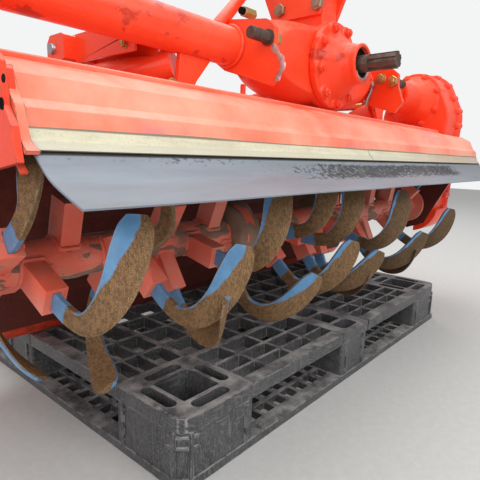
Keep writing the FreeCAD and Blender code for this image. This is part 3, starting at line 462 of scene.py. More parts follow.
# Finishes
def enamel_finish(name, paint, fresh, faded, fade=0.42, chips=0.5, cast=False, dusty=0.3,
                  inside=0.0, bloom=0.0, stains=0.33):
    """Orange paint with soil and painted shade where it faces the rotor. inside says how far out, bloom adds
    violet.
    """
    skin = Finish(name)
    tone = skin.patches(5.0, fade, 0.22)["Mask"]
    skin.base = skin.blend(tone, fresh, faded)
    if bloom:
        violet = skin.patches(5.5, 0.42, 0.09, skin.stretch(skin.place, (0.7, 1.6, 1.6)))
        violet_tint = (0.70, 0.16, 0.24)
        skin.layer(violet["Mask"], violet_tint, bloom)
    pale_scratch = (0.96, 0.32, 0.20)
    warm_dust = (0.86, 0.46, 0.34)
    dark_stain = (0.33, 0.022, 0.014)
    skin.layer(skin.group("scratches", Density=0.8)["Mask"], pale_scratch, 0.08)
    skin.layer(skin.group("dust", Amount=dusty)["Mask"], warm_dust)
    skin.layer(skin.patches(13.0, stains, 0.02)["Mask"], dark_stain, 0.6)
    spots = skin.patches(26.0, 0.27 + 0.04 * chips, 0.012)["Mask"]
    bare = skin.most(skin.worn(0.0025, paint.wear, 70.0), skin.times(spots, chips))
    skin.layer(bare, paint.primer)
    rough = skin.plus(0.36 if cast else 0.27, skin.times(tone, 0.16))
    rough = skin.plus(rough, skin.times(bare, 0.35), clamp=True)
    if inside:
        # Faces turned to the rotor's middle get soil and painted shade, dark red to near black.
        soil_and_shade = skin.group("facing_rotor", Reach=inside)["Mask"]
        caked = skin.patches(8.0, 0.40, 0.10)
        wet_soil_in_shade, shaded_soiled_paint, dry_crumbs = (
            (0.030, 0.012, 0.009), (0.105, 0.020, 0.012), (0.085, 0.065, 0.050))
        dark = skin.blend(caked["Mask"], wet_soil_in_shade, shaded_soiled_paint)
        dark = skin.blend(skin.times(skin.ramp(caked["Speckle"], 0.5, 0.7), 0.35), dark,
                          dry_crumbs)
        skin.layer(soil_and_shade, dark, 0.92)
        rough = skin.plus(rough, skin.times(soil_and_shade, 0.5), clamp=True)
    peel = skin.noise(skin.place, 160.0 if cast else 420.0, 3.0, 0.6)
    skin.end(rough, skin.plus(peel, skin.times(bare, -0.8)), 0.30 if cast else 0.10, 0.0012,
             Specular_IOR_Level=0.38, Coat_Weight=0.06, Coat_Roughness=0.15)


def rotor_finish(paint):
    """Dull red paint under dust and cakes of soil."""
    skin = Finish("rotor_paint")
    tone = skin.patches(7.0, 0.5, 0.2)["Mask"]
    red, dull_red, dust_film = (0.92, 0.14, 0.075), (0.84, 0.26, 0.19), (0.62, 0.34, 0.26)
    skin.base = skin.blend(tone, red, dull_red)
    film = skin.noise(skin.place, 34.0, 5.0, 0.7)
    skin.layer(skin.ramp(film, 0.45, 0.7), dust_film, 0.45)
    soil = skin.patches(11.0, 0.37, 0.07)
    crumbs = skin.ramp(soil["Speckle"], 0.35, 0.6)
    cake = skin.times(soil["Mask"], skin.plus(0.55, skin.times(crumbs, 0.45)))
    skin.layer(cake, skin.blend(crumbs, shade(paint.soil, 0.6), paint.soil))
    height = skin.plus(skin.times(soil["Speckle"], 0.4), skin.times(cake, 0.8))
    skin.end(skin.plus(0.5, skin.times(cake, 0.42)), height, 0.7, 0.003)


def tine_finish(paint):
    """Blue paint left where the mesh says so, ground brown steel elsewhere."""
    skin = Finish("tine_steel")
    left = skin.node("ShaderNodeAttribute", attribute_name="paint_left").outputs["Fac"]
    ragged = skin.noise(skin.place, 38.0, 6.0, 0.7)
    fine = skin.noise(skin.place, 900.0, 2.0, 0.7)
    streak = skin.noise(skin.stretch(skin.place, (120.0, 30.0, 30.0)), 4.0, 4.0, 0.6)
    painted = skin.ramp(skin.plus(left, skin.times(skin.minus(ragged, 0.5), 0.9)), 0.42, 0.62)
    skin.base = skin.blend(skin.ramp(streak, 0.35, 0.65), shade(paint.tine_brown, 0.45),
                           paint.tine_brown)
    pale_grains, rust, far_shade = (0.52, 0.32, 0.14), (0.23, 0.09, 0.035), (0.062, 0.040, 0.022)
    skin.layer(skin.ramp(fine, 0.52, 0.70), pale_grains)
    skin.layer(skin.ramp(ragged, 0.56, 0.72), rust, 0.5)
    skin.layer(skin.ramp(skin.parts(skin.place)["X"], -0.40, 0.30), far_shade, 0.62)
    skin.layer(painted, skin.blend(skin.ramp(ragged, 0.3, 0.8), shade(paint.tine_blue, 0.7),
                                   paint.tine_blue))
    bright_edge = (0.44, 0.36, 0.28)
    skin.layer(skin.worn(0.003, 0.9, 90.0), bright_edge, 0.45)
    skin.end(skin.minus(0.68, skin.times(painted, 0.3)),
             skin.times(fine, skin.minus(1.15, painted)), 0.55, 0.0012,
             Metallic=skin.times(skin.minus(1.0, painted), 0.25))


def metal_finish(name, tint, rough, stain, grime):
    """Metal of one tint with stained patches."""
    skin = Finish(name)
    tone = skin.patches(40.0, grime, 0.15)["Mask"]
    skin.base = skin.blend(tone, tint, stain)
    skin.end(skin.plus(rough, skin.times(tone, 0.3)), skin.noise(skin.place, 300.0), 0.25, 0.0008,
             Metallic=skin.minus(0.9, skin.times(tone, 0.6)))


def zinc_finish(paint):
    """Cream sheet with painted shade along its rims and on its lower face, browner towards the chain case."""
    skin = Finish("zinc_strip_sheet")
    runs = skin.noise(skin.stretch(skin.place, (5.0, 60.0, 60.0)), 2.0, 4.0, 0.6)
    tone = skin.patches(9.0, 0.40, 0.16)
    parts = skin.parts(skin.place)
    height = parts["Z"]
    skin.base = skin.blend(skin.ramp(runs, 0.35, 0.65), paint.zinc, shade(paint.zinc, 0.86))
    brown, speckle, shaded = (0.50, 0.38, 0.25), (0.46, 0.38, 0.22), (0.50, 0.49, 0.39)
    far_brown, rim_shade = (0.46, 0.33, 0.25), (0.11, 0.065, 0.035)
    skin.layer(tone["Mask"], brown, 0.40)
    skin.layer(skin.ramp(tone["Speckle"], 0.52, 0.66), speckle, 0.35)
    skin.layer(skin.ramp(height, 0.5162, 0.5152), shaded, 0.6)
    skin.layer(skin.ramp(parts["X"], 0.0, 0.65), far_brown, 0.7)
    # Painted shade along the top rim under the cover's lip and along the bottom rim over the flap.
    rim = skin.most(skin.ramp(height, 0.5074, 0.5068), skin.ramp(height, 0.5268, 0.5285))
    skin.layer(rim, rim_shade, 0.75)
    skin.end(skin.plus(0.45, skin.times(tone["Mask"], 0.25)),
             skin.plus(runs, skin.noise(skin.place, 240.0)), 0.25, 0.0010)


def flap_finish(paint):
    """Grey rubber with a black smear along its upper middle, and painted shade along its top edge under the strip.
    """
    skin = Finish("flap_sheet")
    smear = skin.noise(skin.stretch(skin.place, (2.6, 15.0, 15.0)), 1.6, 7.0, 0.66)
    spots = skin.patches(30.0, 0.42, 0.08)
    parts = skin.parts(skin.place)
    along, height = parts["X"], parts["Z"]
    zone = skin.times(skin.ramp(along, -0.58, -0.16), skin.ramp(along, 0.66, 0.44))
    for low, high in ((0.462, 0.478), (0.503, 0.494)):
        zone = skin.times(zone, skin.ramp(height, low, high))
    traces = skin.times(skin.ramp(height, 0.485, 0.500), 0.30)
    skin.base = skin.blend(skin.ramp(smear, 0.3, 0.7), shade(paint.flap, 0.86),
                           shade(paint.flap, 1.12))
    far_grey, black_smear = (0.13, 0.138, 0.148), (0.026, 0.023, 0.022)
    dried_mud, shade_under_strip = (0.30, 0.27, 0.23), (0.03, 0.028, 0.027)
    skin.layer(skin.ramp(along, 0.1, 0.75), far_grey, 0.55)
    blotch = skin.noise(skin.stretch(skin.place, (90.0, 170.0, 170.0)), 1.0, 4.0, 0.7)
    level = skin.plus(skin.times(skin.minus(blotch, 0.5), 1.5),
                      skin.times(skin.minus(smear, 0.5), 0.8))
    level = skin.plus(level, skin.most(skin.times(zone, 0.62), traces))
    dark = skin.times(skin.ramp(level, 0.34, 0.62), 0.88)
    skin.layer(dark, black_smear)
    skin.layer(spots["Mask"], dried_mud, 0.16)
    # Painted shade under the clamping strip, along the flap's top edge.
    skin.layer(skin.ramp(height, 0.5010, 0.5030), shade_under_strip)
    skin.end(skin.plus(skin.times(dark, 0.35), skin.plus(0.34, skin.times(smear, 0.3))),
             skin.plus(smear, skin.times(spots["Speckle"], 0.2)), 0.18, 0.0018,
             Coat_Weight=skin.times(skin.minus(1.0, dark), 0.12), Coat_Roughness=0.2)


def soil_finish(paint):
    """Dry soil with grains of the rotor's paint colour."""
    skin = Finish("soil_crust")
    tone = skin.patches(30.0, 0.5, 0.15)
    skin.base = skin.blend(tone["Mask"], paint.soil, shade(paint.soil, 0.75))
    skin.layer(skin.ramp(tone["Speckle"], 0.45, 0.75), (0.50, 0.17, 0.10))
    skin.end(0.95, tone["Speckle"], 0.8, 0.002)


def pallet_finish(paint):
    """Black plastic, dusty on top and scuffed on its sides."""
    skin = Finish("pallet_plastic")
    tone = skin.patches(9.0, 0.5, 0.2)["Mask"]
    skin.base = skin.blend(tone, paint.pallet, shade(paint.pallet, 2.0))
    level = skin.group("scratches", Density=1.1)["Mask"]
    upright = skin.group("scratches", skin.stretch(skin.place, (4.0, 4.0, 0.2)), Density=1.0)
    marks = skin.most(level, upright["Mask"])
    scuff, grey_dust, scuffed_edge = (0.30, 0.29, 0.28), (0.47, 0.455, 0.435), (0.36, 0.35, 0.34)
    skin.layer(marks, scuff, 0.3)
    dust = skin.group("dust", Amount=0.95)["Mask"]
    skin.layer(dust, grey_dust)
    skin.layer(skin.worn(0.004, paint.wear, 45.0), scuffed_edge, 0.75)
    skin.end(skin.plus(0.42, skin.times(dust, 0.5), clamp=True),
             skin.plus(skin.noise(skin.place, 260.0), marks), 0.2, 0.0010)


def build_finishes():
    """Makes all the materials. The node groups come first, because the materials use them."""
    paint = bpy.context.scene.rotavator_paint
    for make in (edge_wear_group, patches_group, scratches_group, dust_group, facing_rotor_group):
        make()
    own = (paint, paint.enamel, paint.faded)
    enamel_finish("orange_enamel", *own)
    enamel_finish("cast_enamel", *own, 0.40, 0.35, cast=True)
    enamel_finish("sheet_enamel", *own, inside=1.0)
    enamel_finish("plate_enamel", *own, inside=0.270)
    enamel_finish("beam_enamel", *own, stains=0.41)
    enamel_finish("hood_enamel", paint, (0.97, 0.12, 0.055), (0.97, 0.27, 0.17), 0.50, 0.3,
                  dusty=0.8, inside=1.0)
    enamel_finish("cover_enamel", paint, (0.97, 0.17, 0.085), (0.97, 0.40, 0.27), 0.52, 0.2,
                  dusty=0.65, inside=1.0, bloom=0.6, stains=0.27)
    # columns: name, tint, roughness, stain, how much of it is stained
    # The near-black finish serves the seal, a bolt's end and, as painted shade, the side plate's holes.
    for row in (("dark_steel", (0.15, 0.115, 0.10), 0.40, (0.085, 0.042, 0.028), 0.5),
                ("black_and_hole_shade", (0.006, 0.005, 0.005), 0.9, (0.004, 0.003, 0.003), 0.5),
                ("brown_steel", (0.42, 0.30, 0.21), 0.48, (0.22, 0.12, 0.07), 0.42),
                ("plated_steel", paint.plating, 0.34, (0.20, 0.13, 0.07), 0.38),
                ("grey_steel", (0.42, 0.42, 0.44), 0.36, (0.20, 0.13, 0.09), 0.36),
                ("spring_steel", (0.035, 0.035, 0.038), 0.45, (0.10, 0.06, 0.035), 0.35),
                ("grease", (0.62, 0.44, 0.42), 0.5, (0.34, 0.20, 0.19), 0.4)):
        metal_finish(*row)
    for make in (rotor_finish, tine_finish, soil_finish, zinc_finish, flap_finish, pallet_finish):
        make(paint)


FINISH_OF_SLOT = {
    "orange_paint": "orange_enamel", "case_paint": "cast_enamel", "cover_paint": "cover_enamel",
    "rotor_paint": "rotor_paint", "tine_steel": "tine_steel", "dark_steel": "dark_steel",
    "plated_steel": "plated_steel", "spring_steel": "spring_steel", "zinc": "zinc_strip_sheet",
    "flap_rubber": "flap_sheet", "pallet": "pallet_plastic",
}
# Parts whose names start so have their own finish.
FINISH_OF_NODE = (
    ("hood_main", "hood_enamel"), ("rear_cover", "sheet_enamel"), ("side_plate", "plate_enamel"),
    ("beam", "beam_enamel"), ("trunnion", "grey_steel"), ("spring_rod", "grey_steel"),
)


def finish(name):
    """The material of a name. Slots have the plain names, so a finish has its own ending."""
    return bpy.data.materials[name + "_finish"]


# Forms of the pieces
# Where the tines stand. columns: mm from the pipe's right end, degrees from +Y towards +Z,
# side of the bend
TINES = (
    (17, 150, 1), (67, 203, 1), (66, 331, 1), (122, 106, -1), (190, 166, -1), (216, 306, -1),
    (238, 218, 1), (296, 120, 1), (294, 238, -1), (358, 193, 1), (412, 112, -1), (450, 240, 1),
    (547, 177, 1), (571, 227, 1), (624, 188, 1), (668, 74, -1), (713, 238, 1), (797, 251, -1),
    (838, 203, 1), (905, 80, -1), (976, 234, 1), (1051, 246, -1), (1100, 96, -1), (1140, 40, -1),
    (1185, 221, 1), (1235, 100, -1), (1290, 50, -1), (1345, 130, -1), (1385, 75, -1),
    (1415, 20, -1),
)
# Blade sections from the socket to the tip. columns: outer edge's radius, share of the sweep,
# share of the bend, width, twist in degrees
BLADE = (
    (0.073, 0.00, 0.00, 0.0270, 0.0), (0.112, 0.00, 0.00, 0.0270, 0.0),
    (0.142, 0.03, 0.00, 0.0270, 0.0), (0.172, 0.10, 0.00, 0.0270, 4.0),
    (0.197, 0.23, 0.06, 0.0343, 13.0), (0.214, 0.39, 0.20, 0.0392, 22.0),
    (0.2245, 0.57, 0.42, 0.0440, 33.0), (0.2285, 0.78, 0.72, 0.0466, 46.0),
    (0.2285, 0.95, 1.00, 0.0414, 55.0), (0.2255, 1.04, 1.10, 0.0242, 57.0),
)
TINE_SWEEP = math.radians(44.0)
TINE_BEND = 0.0396
# What the edge's radius is drawn in by, so that the tips keep off the deck
TINE_ROOM = 0.0027
SOCKET_TOP = 0.074
PIPE_R = 0.0312
# Soil round the coupling in the rotor pipe: from x, to x, and its radius
COUPLING = (-0.296, -0.236, 0.058)


def between(rows, share):
    """Smooth values between rows, share running from 0 to 1."""
    place = share * (len(rows) - 1)
    i = min(int(place), len(rows) - 2)
    t = place - i
    before, start, end, after = (rows[limited(k, 0, len(rows) - 1)] for k in range(i - 1, i + 3))
    return [0.5 * (2 * b + (c - a) * t + (2 * a - 5 * b + 4 * c - d) * t * t
                   + (3 * b - a - 3 * c + d) * t ** 3)
            for a, b, c, d in zip(before, start, end, after)]


def paint_left(share, across, outside, spent):
    """How much blue paint is left, by the place along the blade and across it."""
    root = 1.0 - limited((share - 0.17) / 0.09)
    reach = -1.02 + (1.22 - spent) * limited((share - 0.55) / 0.36)
    inner = limited(0.5 + (reach - across) * 1.6) if share > 0.52 else 0.0
    if across < -0.93 and share > 0.3:
        inner = max(inner, 0.62)
    if outside and share > 0.45:
        inner *= 0.25
    return max(root, inner)


def tine_form(form, x, angle, side, settings):
    """A tine, with marks that say where its paint is left. spent is less towards the near end."""
    spent = limited((x + 0.45) / 0.35 + 0.5 * noise.noise(Vector((x * 31, 4, 2))), 0.0, 0.85)
    count = settings.sections
    rows = [between(BLADE, i / (count - 1)) for i in range(count)]
    centres = []
    for edge, swept, bend, width, twist in rows:
        radius = edge - width / 2 * math.cos(math.radians(twist)) - TINE_ROOM
        centres.append(round_about(ROTOR, radius, math.radians(angle) - swept * TINE_SWEEP,
                                   x + side * bend * TINE_BEND))
    steps = (-1.0, -0.94, -0.75, -0.5, -0.25, 0.0, 0.25, 0.5, 0.72, 0.9, 1.0)
    rings = []
    for i, (edge, swept, bend, width, twist) in enumerate(rows):
        share = i / (count - 1)
        along = centres[min(i + 1, count - 1)] - centres[max(i - 1, 0)]
        along.normalize()
        upright = X.cross(along).normalized()
        across = along.cross(upright) * side
        turn = math.radians(twist)
        wide = upright * math.cos(turn) + across * math.sin(turn)
        thin = along.cross(wide)
        sharp = limited((share - 0.35) / 0.2)
        ring = []
        for way in (1, -1):
            for u in steps if way > 0 else steps[::-1]:
                half = settings.thick / 2
                half *= 0.72 if abs(u) > 0.93 else 1.0
                half *= 1.0 - 0.62 * sharp * max(0.0, (u - 0.45) / 0.55)
                ring.append(centres[i] + wide * (u * width / 2) + thin * (way * half))
                form.marks.append(paint_left(share, u, way * side > 0, spent))
        rings.append(ring)
    form.skin(rings)


def socket_weld(form, x, angle):
    """A bead round a socket's foot on the pipe."""
    turn = Matrix.Rotation(math.radians(angle), 3, "X")
    path = []
    for i in range(29):
        a = 2 * math.pi * i / 28
        along = limited(1.35 * math.cos(a), -1.0) * 0.0165
        wide = limited(1.35 * math.sin(a), -1.0) * 0.0205
        path.append(Vector((x, ROTOR.y, ROTOR.z))
                    + turn @ Vector((along, math.sqrt(PIPE_R ** 2 - wide ** 2), wide)))
    form.sweep(path, lambda t: 0.0034 + 0.0006 * math.sin(70 * t), 8)


def crust(form, x0, x1, radius, thick, seed, cover):
    """A broken skin of soil on a round bar, that sinks into the bar where there is none."""
    rows = max(4, int((x1 - x0) / 0.004))
    sides = 56
    rings = []
    for i in range(rows + 1):
        x = x0 + (x1 - x0) * i / rows
        ring = []
        for k in range(sides):
            a = 2 * math.pi * k / sides
            spot = Vector((x * 14 + seed, math.cos(a) * 1.1, math.sin(a) * 1.1))
            lump = (noise.noise(spot) + 0.5 * noise.noise(spot * 3.1)
                    + 0.22 * noise.noise(spot * 9.0))
            rise = -0.8 if i in (0, rows) else limited((lump + cover) * 1.6, -0.5)
            ring.append(round_about(ROTOR, radius + thick * rise, a, x))
        rings.append(ring)
    form.skin(rings)


def smear_form(form):
    """Grease smeared down the front of the right hitch plate, pressed flat."""
    line = [Vector(place) for place in (
        (-0.262, -0.466, 0.709), (-0.261, -0.478, 0.694), (-0.259, -0.489, 0.682),
        (-0.256, -0.490, 0.668), (-0.256, -0.484, 0.652), (-0.258, -0.476, 0.643))]
    path = []
    for k in range(60):
        point = line[k // 12].lerp(line[k // 12 + 1], (k % 12) / 12)
        path.append(point + Vector((0.002 * noise.noise(point * 160),
                                    0.003 * noise.noise(point * 140 + X), 0)))

    def radius(t):
        bead = 0.0055 + 0.0030 * noise.noise(Vector((t * 6, 7, 1)))
        return bead * min(1, 9 * (1 - t), 0.4 + 9 * t)

    start = len(form.corners)
    form.sweep(path, radius, 9)
    flat_x = -0.2595
    for corner in form.corners[start:]:
        corner.x = flat_x + (corner.x - flat_x) * 0.25


def spring_form(form, start, end, radius, wire, turns):
    """A coil between two places, with closed ends."""
    axis = (end - start).normalized()
    side, up = basis(axis)
    length = (end - start).length - 2 * wire
    count = int(turns * 18)
    path = []
    for i in range(count + 1):
        share = i / count
        climb = limited((share * turns - 0.8) / (turns - 1.6))
        a = 2 * math.pi * share * turns
        path.append(start + axis * (wire + length * climb) + spoke(side, up, a) * (radius - wire))
    form.sweep(path, wire, 10)


def grid_slab(form, xs, ys, closed, z0, z1):
    """A slab of cells. closed says which cells are solid, the rest are open."""
    corner = {}
    points = []
    faces = []

    def at(i, j, high):
        key = (i, j, high)
        if key not in corner:
            corner[key] = len(points)
            points.append((xs[i], ys[j], z1 if high else z0))
        return corner[key]

    for i in range(len(xs) - 1):
        for j in range(len(ys) - 1):
            if not closed(i, j):
                continue
            faces.append((at(i, j, 1), at(i + 1, j, 1), at(i + 1, j + 1, 1), at(i, j + 1, 1)))
            faces.append((at(i, j, 0), at(i, j + 1, 0), at(i + 1, j + 1, 0), at(i + 1, j, 0)))
            # columns: the neighbour's step, then the two corners of the wall towards it
            for di, dj, a, b in ((-1, 0, (i, j + 1), (i, j)), (1, 0, (i + 1, j), (i + 1, j + 1)),
                                 (0, -1, (i, j), (i + 1, j)), (0, 1, (i + 1, j + 1), (i, j + 1))):
                inside = 0 <= i + di < len(xs) - 1 and 0 <= j + dj < len(ys) - 1
                if inside and closed(i + di, j + dj):
                    continue
                faces.append((at(*a, 0), at(*b, 0), at(*b, 1), at(*a, 1)))
    form.add(points, faces)


def rounded_loop(x0, x1, y0, y1, radii, steps=5):
    """Corners of a rectangle with its own radius at each corner, counted round from (x0, y0)."""
    loop = []
    corners = ((x0, y0, 1, 1, 180), (x1, y0, -1, 1, 270), (x1, y1, -1, -1, 0), (x0, y1, 1, -1, 90))
    for (x, y, sx, sy, start), radius in zip(corners, radii):
        for k in range(steps + 1):
            a = math.radians(start + 90.0 * k / steps)
            loop.append((x + radius * (sx + math.cos(a)), y + radius * (sy + math.sin(a))))
    return loop


def holed_prism(form, outer, holes, z0, z1, floor=None):
    """A prism with wells. The wells are as deep as floor says, or go through."""
    loops = [outer] + holes
    low = z0 if floor is None else floor
    flat = [Vector((x, y, 0)) for loop in loops for x, y in loop]
    top = [tuple(face) for face in tessellate_polygon(
        [[Vector((x, y, 0)) for x, y in loop] for loop in loops])]
    count = len(flat)
    points = [(p.x, p.y, z1) for p in flat] + [(p.x, p.y, low) for p in flat]
    faces = list(top)
    start = 0
    for number, loop in enumerate(loops):
        size = len(loop)
        for k in range(size):
            a, b = start + k, start + (k + 1) % size
            faces.append((a, b, count + b, count + a))
        if number and floor is not None:
            faces.append(tuple(range(count + start, count + start + size)))
        start += size
    if floor is None:
        faces.extend(tuple(count + i for i in face) for face in top)
    form.add(points, faces)
    if floor is not None:
        size = len(outer)
        form.add([(x, y, z) for z in (floor, z0) for x, y in outer],
                 [(k, (k + 1) % size, size + (k + 1) % size, size + k) for k in range(size)]
                 + [tuple(range(size, 2 * size))])


def flap_form(form, x0, x1, low, high):
    """A thin sheet hanging in a curve, waving a little along its lower edge."""
    # rows: y and z of the middle line, in mm
    line = ((-551.5, 511.0), (-562.5, 500.0), (-576.5, 486.0), (-590.0, 476.0), (-613.0, 465.5),
            (-638.6, 455.2))
    columns = 120
    rings = []
    for i in range(columns + 1):
        x = x0 + (x1 - x0) * i / columns
        middle = []
        for k in range(17):
            y, z = (v * MM for v in between(line, k / 16))
            sway = 0.0011 * (k / 16) ** 2 * noise.noise(Vector((x * 4.0, k * 0.05, 3.0)))
            middle.append(Vector((x + 0.005 * (k / 16) * (1 - i / columns), y, z + sway)))
        sides = []
        for k, point in enumerate(middle):
            along = middle[min(k + 1, 16)] - middle[max(k - 1, 0)]
            sides.append(X.cross(along).normalized() * 0.0011)
        ring = [p + s for p, s in zip(middle, sides)]
        ring += [p - s for p, s in zip(middle[::-1], sides[::-1])]
        for point in ring:
            point.y = limited(point.y, low[1], high[1])
            point.z = limited(point.z, low[2], high[2])
        rings.append(ring)
    form.skin(rings)


def strip_form(form, x0, x1, cut):
    """Clamping strip in two lengths, broken off slantwise where they meet."""
    # rows: y and z of the outer face, in mm
    line = ((-546.9, 533.0), (-548.2, 529.0), (-550.6, 522.3), (-552.7, 516.2), (-553.4, 515.2),
            (-557.6, 510.9), (-561.6, 506.8))
    outer = [Vector((0, y * MM, z * MM)) for y, z in line]
    inner = []
    for k, point in enumerate(outer):
        along = outer[min(k + 1, len(outer) - 1)] - outer[max(k - 1, 0)]
        way = X.cross(along).normalized()
        inner.append(point + (way if way.y > 0 else -way) * 0.0018)
    for start, end, near in ((x0, cut, 1), (cut, x1, 0)):
        rings = []
        for i in range(41):
            share = i / 40
            ring = []
            for k, point in list(enumerate(outer)) + list(enumerate(inner))[::-1]:
                slant = 0.009 * k / 6 + 0.0015 * math.sin(5.0 * k)
                x = start + (end - start) * share
                x += (slant - 0.0013) * share if near else (slant + 0.0013) * (1 - share)
                shake = 0.0003 * noise.noise(Vector((x * 9, k * 0.7, 1)))
                ring.append(point + Vector((x, shake, 0)))
            rings.append(ring)
        form.skin(rings)


def end_lip_form(form, x0, x1):
    """Folded lip that closes the cover against the end plate."""
    line = ((-519.5, 585.5), (-527.0, 572.0), (-534.0, 558.5), (-540.5, 551.5), (-545.5, 545.5),
            (-549.0, 531.0), (-554.0, 516.5), (-559.5, 509.5), (-566.0, 504.0))
    rings = []
    for k in range(33):
        y, z = (v * MM for v in between(line, k / 32))
        ahead = between(line, min(1.0, (k + 1) / 32))
        behind = between(line, max(0.0, (k - 1) / 32))
        along = Vector((0, ahead[0] - behind[0], ahead[1] - behind[1])).normalized()
        out = Vector((0, along.z, -along.y))
        share = k / 32
        flare = 0.004 * max(0.0, share - 0.75) * 4
        low = Vector((0, y, z)) - out * (0.010 - 0.0075 * max(0.0, share - 0.6) / 0.4)
        high = Vector((0, y, z)) + out * (0.0022 + 0.0040 * (1 - share) ** 2)
        rings.append([low + X * x0, low + X * (x1 + flare), high + X * (x1 + flare), high + X * x0])
    form.skin(rings)


# Pallet. The deck's ribs stand between these distances from its middle, in mm.
DECK_MARKS = (4, 52, 66, 140, 148, 222, 230, 304, 312, 381, 395, 444, 452, 486, 492, 519, 549)
DECK_RIM = 0.519
DECK_LOW = 0.0945
RIB_WIDEST = 0.020
CORNER_LEG = 0.381
MIDDLE_LEG_HALF = 0.060
CORNER_LEG_HALF = 0.0835
LEG_FACE = 0.5465
BASE_THICK = 0.016


def mirrored(values):
    """Distances in mm as places in metres on both sides of the middle."""
    return sorted({sign * value * MM for value in values for sign in (-1, 1)})


def pallet_deck_form(form, top, thick):
    """The deck's ribs and rim, open over the legs."""
    marks = mirrored(DECK_MARKS)

    def closed(i, j):
        places = [abs(marks[k] + marks[k + 1]) / 2 for k in (i, j)]
        if all(place > CORNER_LEG or place < MIDDLE_LEG_HALF for place in places):
            return False
        rib = any(marks[k + 1] - marks[k] < RIB_WIDEST for k in (i, j))
        return rib or max(places) > DECK_RIM

    grid_slab(form, marks, marks, closed, top - thick, top)


def leg_radii(side_x, side_y, outer):
    """Corner radii of a leg, of which a corner leg's outer one is large."""
    return [outer if (side_x, side_y) == corner else 0.006
            for corner in ((-1, -1), (1, -1), (1, 1), (-1, 1))]


def pallet_leg_form(form, side_x, side_y, top):
    """A leg with its well and slots. Gives back its middle and half sizes."""
    half_x = CORNER_LEG_HALF if side_x else MIDDLE_LEG_HALF
    half_y = CORNER_LEG_HALF if side_y else MIDDLE_LEG_HALF
    x = side_x * (LEG_FACE - half_x)
    y = side_y * (LEG_FACE - half_y)
    corner = bool(side_x and side_y)
    outer = rounded_loop(x - half_x, x + half_x, y - half_y, y + half_y,
                         leg_radii(side_x, side_y, 0.034))
    well = 0.041 if corner else 0.026
    holes = [rounded_loop(x - well, x + well, y - well, y + well, (0.003,) * 4, 2)]
    reach_x = half_x - 0.0115
    reach_y = half_y - 0.0115
    slot = well + (0.008 if corner else 0.010)
    long = 0.040 if corner else 0.033
    for way in (-1, 1):
        if corner or side_x:
            a, b = sorted((x + way * slot, x + way * reach_x))
            holes.append(rounded_loop(a, b, y - long, y + long, (0.0105,) * 4, 4))
        if corner or side_y:
            a, b = sorted((y + way * slot, y + way * reach_y))
            holes.append(rounded_loop(x - long, x + long, a, b, (0.0105,) * 4, 4))
    holed_prism(form, outer, holes, z0=0.014, z1=top, floor=0.030)
    return x, y, half_x, half_y


def leg_trim(form, x, y, half_x, half_y, side_x, side_y):
    """Rim, upright ribs and the two ridges round an outer corner."""
    grow = 0.0028
    wall = 0.004
    rim = rounded_loop(x - half_x - grow, x + half_x + grow, y - half_y - grow,
                       y + half_y + grow, leg_radii(side_x, side_y, 0.036))
    inner = rounded_loop(x - half_x + wall, x + half_x - wall, y - half_y + wall,
                         y + half_y - wall, (0.008,) * 4)
    holed_prism(form, rim, [inner], DECK_LOW, 0.1195)
    inset = 0.012 * 1.6
    for sx in (-1, 1):
        for sy in (-1, 1):
            ribs = []
            if sy * side_y > 0:
                ribs.append((x + sx * (half_x - inset), y + sy * half_y))
            if sx * side_x > 0:
                ribs.append((x + sx * half_x, y + sy * (half_y - inset)))
            for cx, cy in ribs:
                form.box(cx - 0.003, cx + 0.003, cy - 0.003, cy + 0.003, BASE_THICK, DECK_LOW)
    if side_x and side_y:
        turn = 0.5 * math.pi * ((1, 1), (-1, 1), (-1, -1), (1, -1)).index((side_x, side_y))
        cx = x + side_x * (half_x - 0.034)
        cy = y + side_y * (half_y - 0.034)
        for z in (0.084, 0.066):
            path = [(cx + 0.0335 * math.cos(turn + a), cy + 0.0335 * math.sin(turn + a), z)
                    for a in (math.radians(v) for v in range(-6, 97, 6))]
            form.sweep(path, lambda t: 0.0036 * min(1.0, 0.35 + 6 * min(t, 1 - t)), 8)


# Slots of the base, in mm from its middle: across an edge strip, across a middle strip, along both
EDGE_SLOTS = ((412, 440), (450, 478), (488, 516))
MIDDLE_SLOTS = ((-14, 14), (19, 47))
SLOT_RUNS = tuple((66 + 41 * k, 97 + 41 * k) for k in range(8))
BASE_WINDOW = 400
BASE_MIDDLE_HALF = 58


def pallet_base_form(form):
    """The base: strips round it and across its middle, with rows of slots."""
    slots = {abs(end) for slot in EDGE_SLOTS + MIDDLE_SLOTS + SLOT_RUNS for end in slot}
    marks = mirrored(slots | {BASE_WINDOW, BASE_MIDDLE_HALF, 549})

    def within(value, ranges):
        return any(a < value < b for a, b in ranges)

    def closed(i, j):
        x, y = (abs(marks[k] + marks[k + 1]) / 2 / MM for k in (i, j))
        if BASE_MIDDLE_HALF < min(x, y) and max(x, y) < BASE_WINDOW:
            return False
        for across, along in ((x, y), (y, x)):
            if not within(along, SLOT_RUNS):
                continue
            if across > BASE_WINDOW and within(across, EDGE_SLOTS):
                return False
            if across < BASE_MIDDLE_HALF and along < BASE_WINDOW and within(across, MIDDLE_SLOTS):
                return False
        return True

    grid_slab(form, marks, marks, closed, 0.0, BASE_THICK)


# Circles that the chain case's outline runs round, from the beam to the rotor: y, z, radius
CASE_CIRCLES = ((AXIS.y, AXIS.z, 0.104), (AXIS.y - 0.006, AXIS.z - 0.064, 0.126),
                (ROTOR.y, ROTOR.z, 0.092))


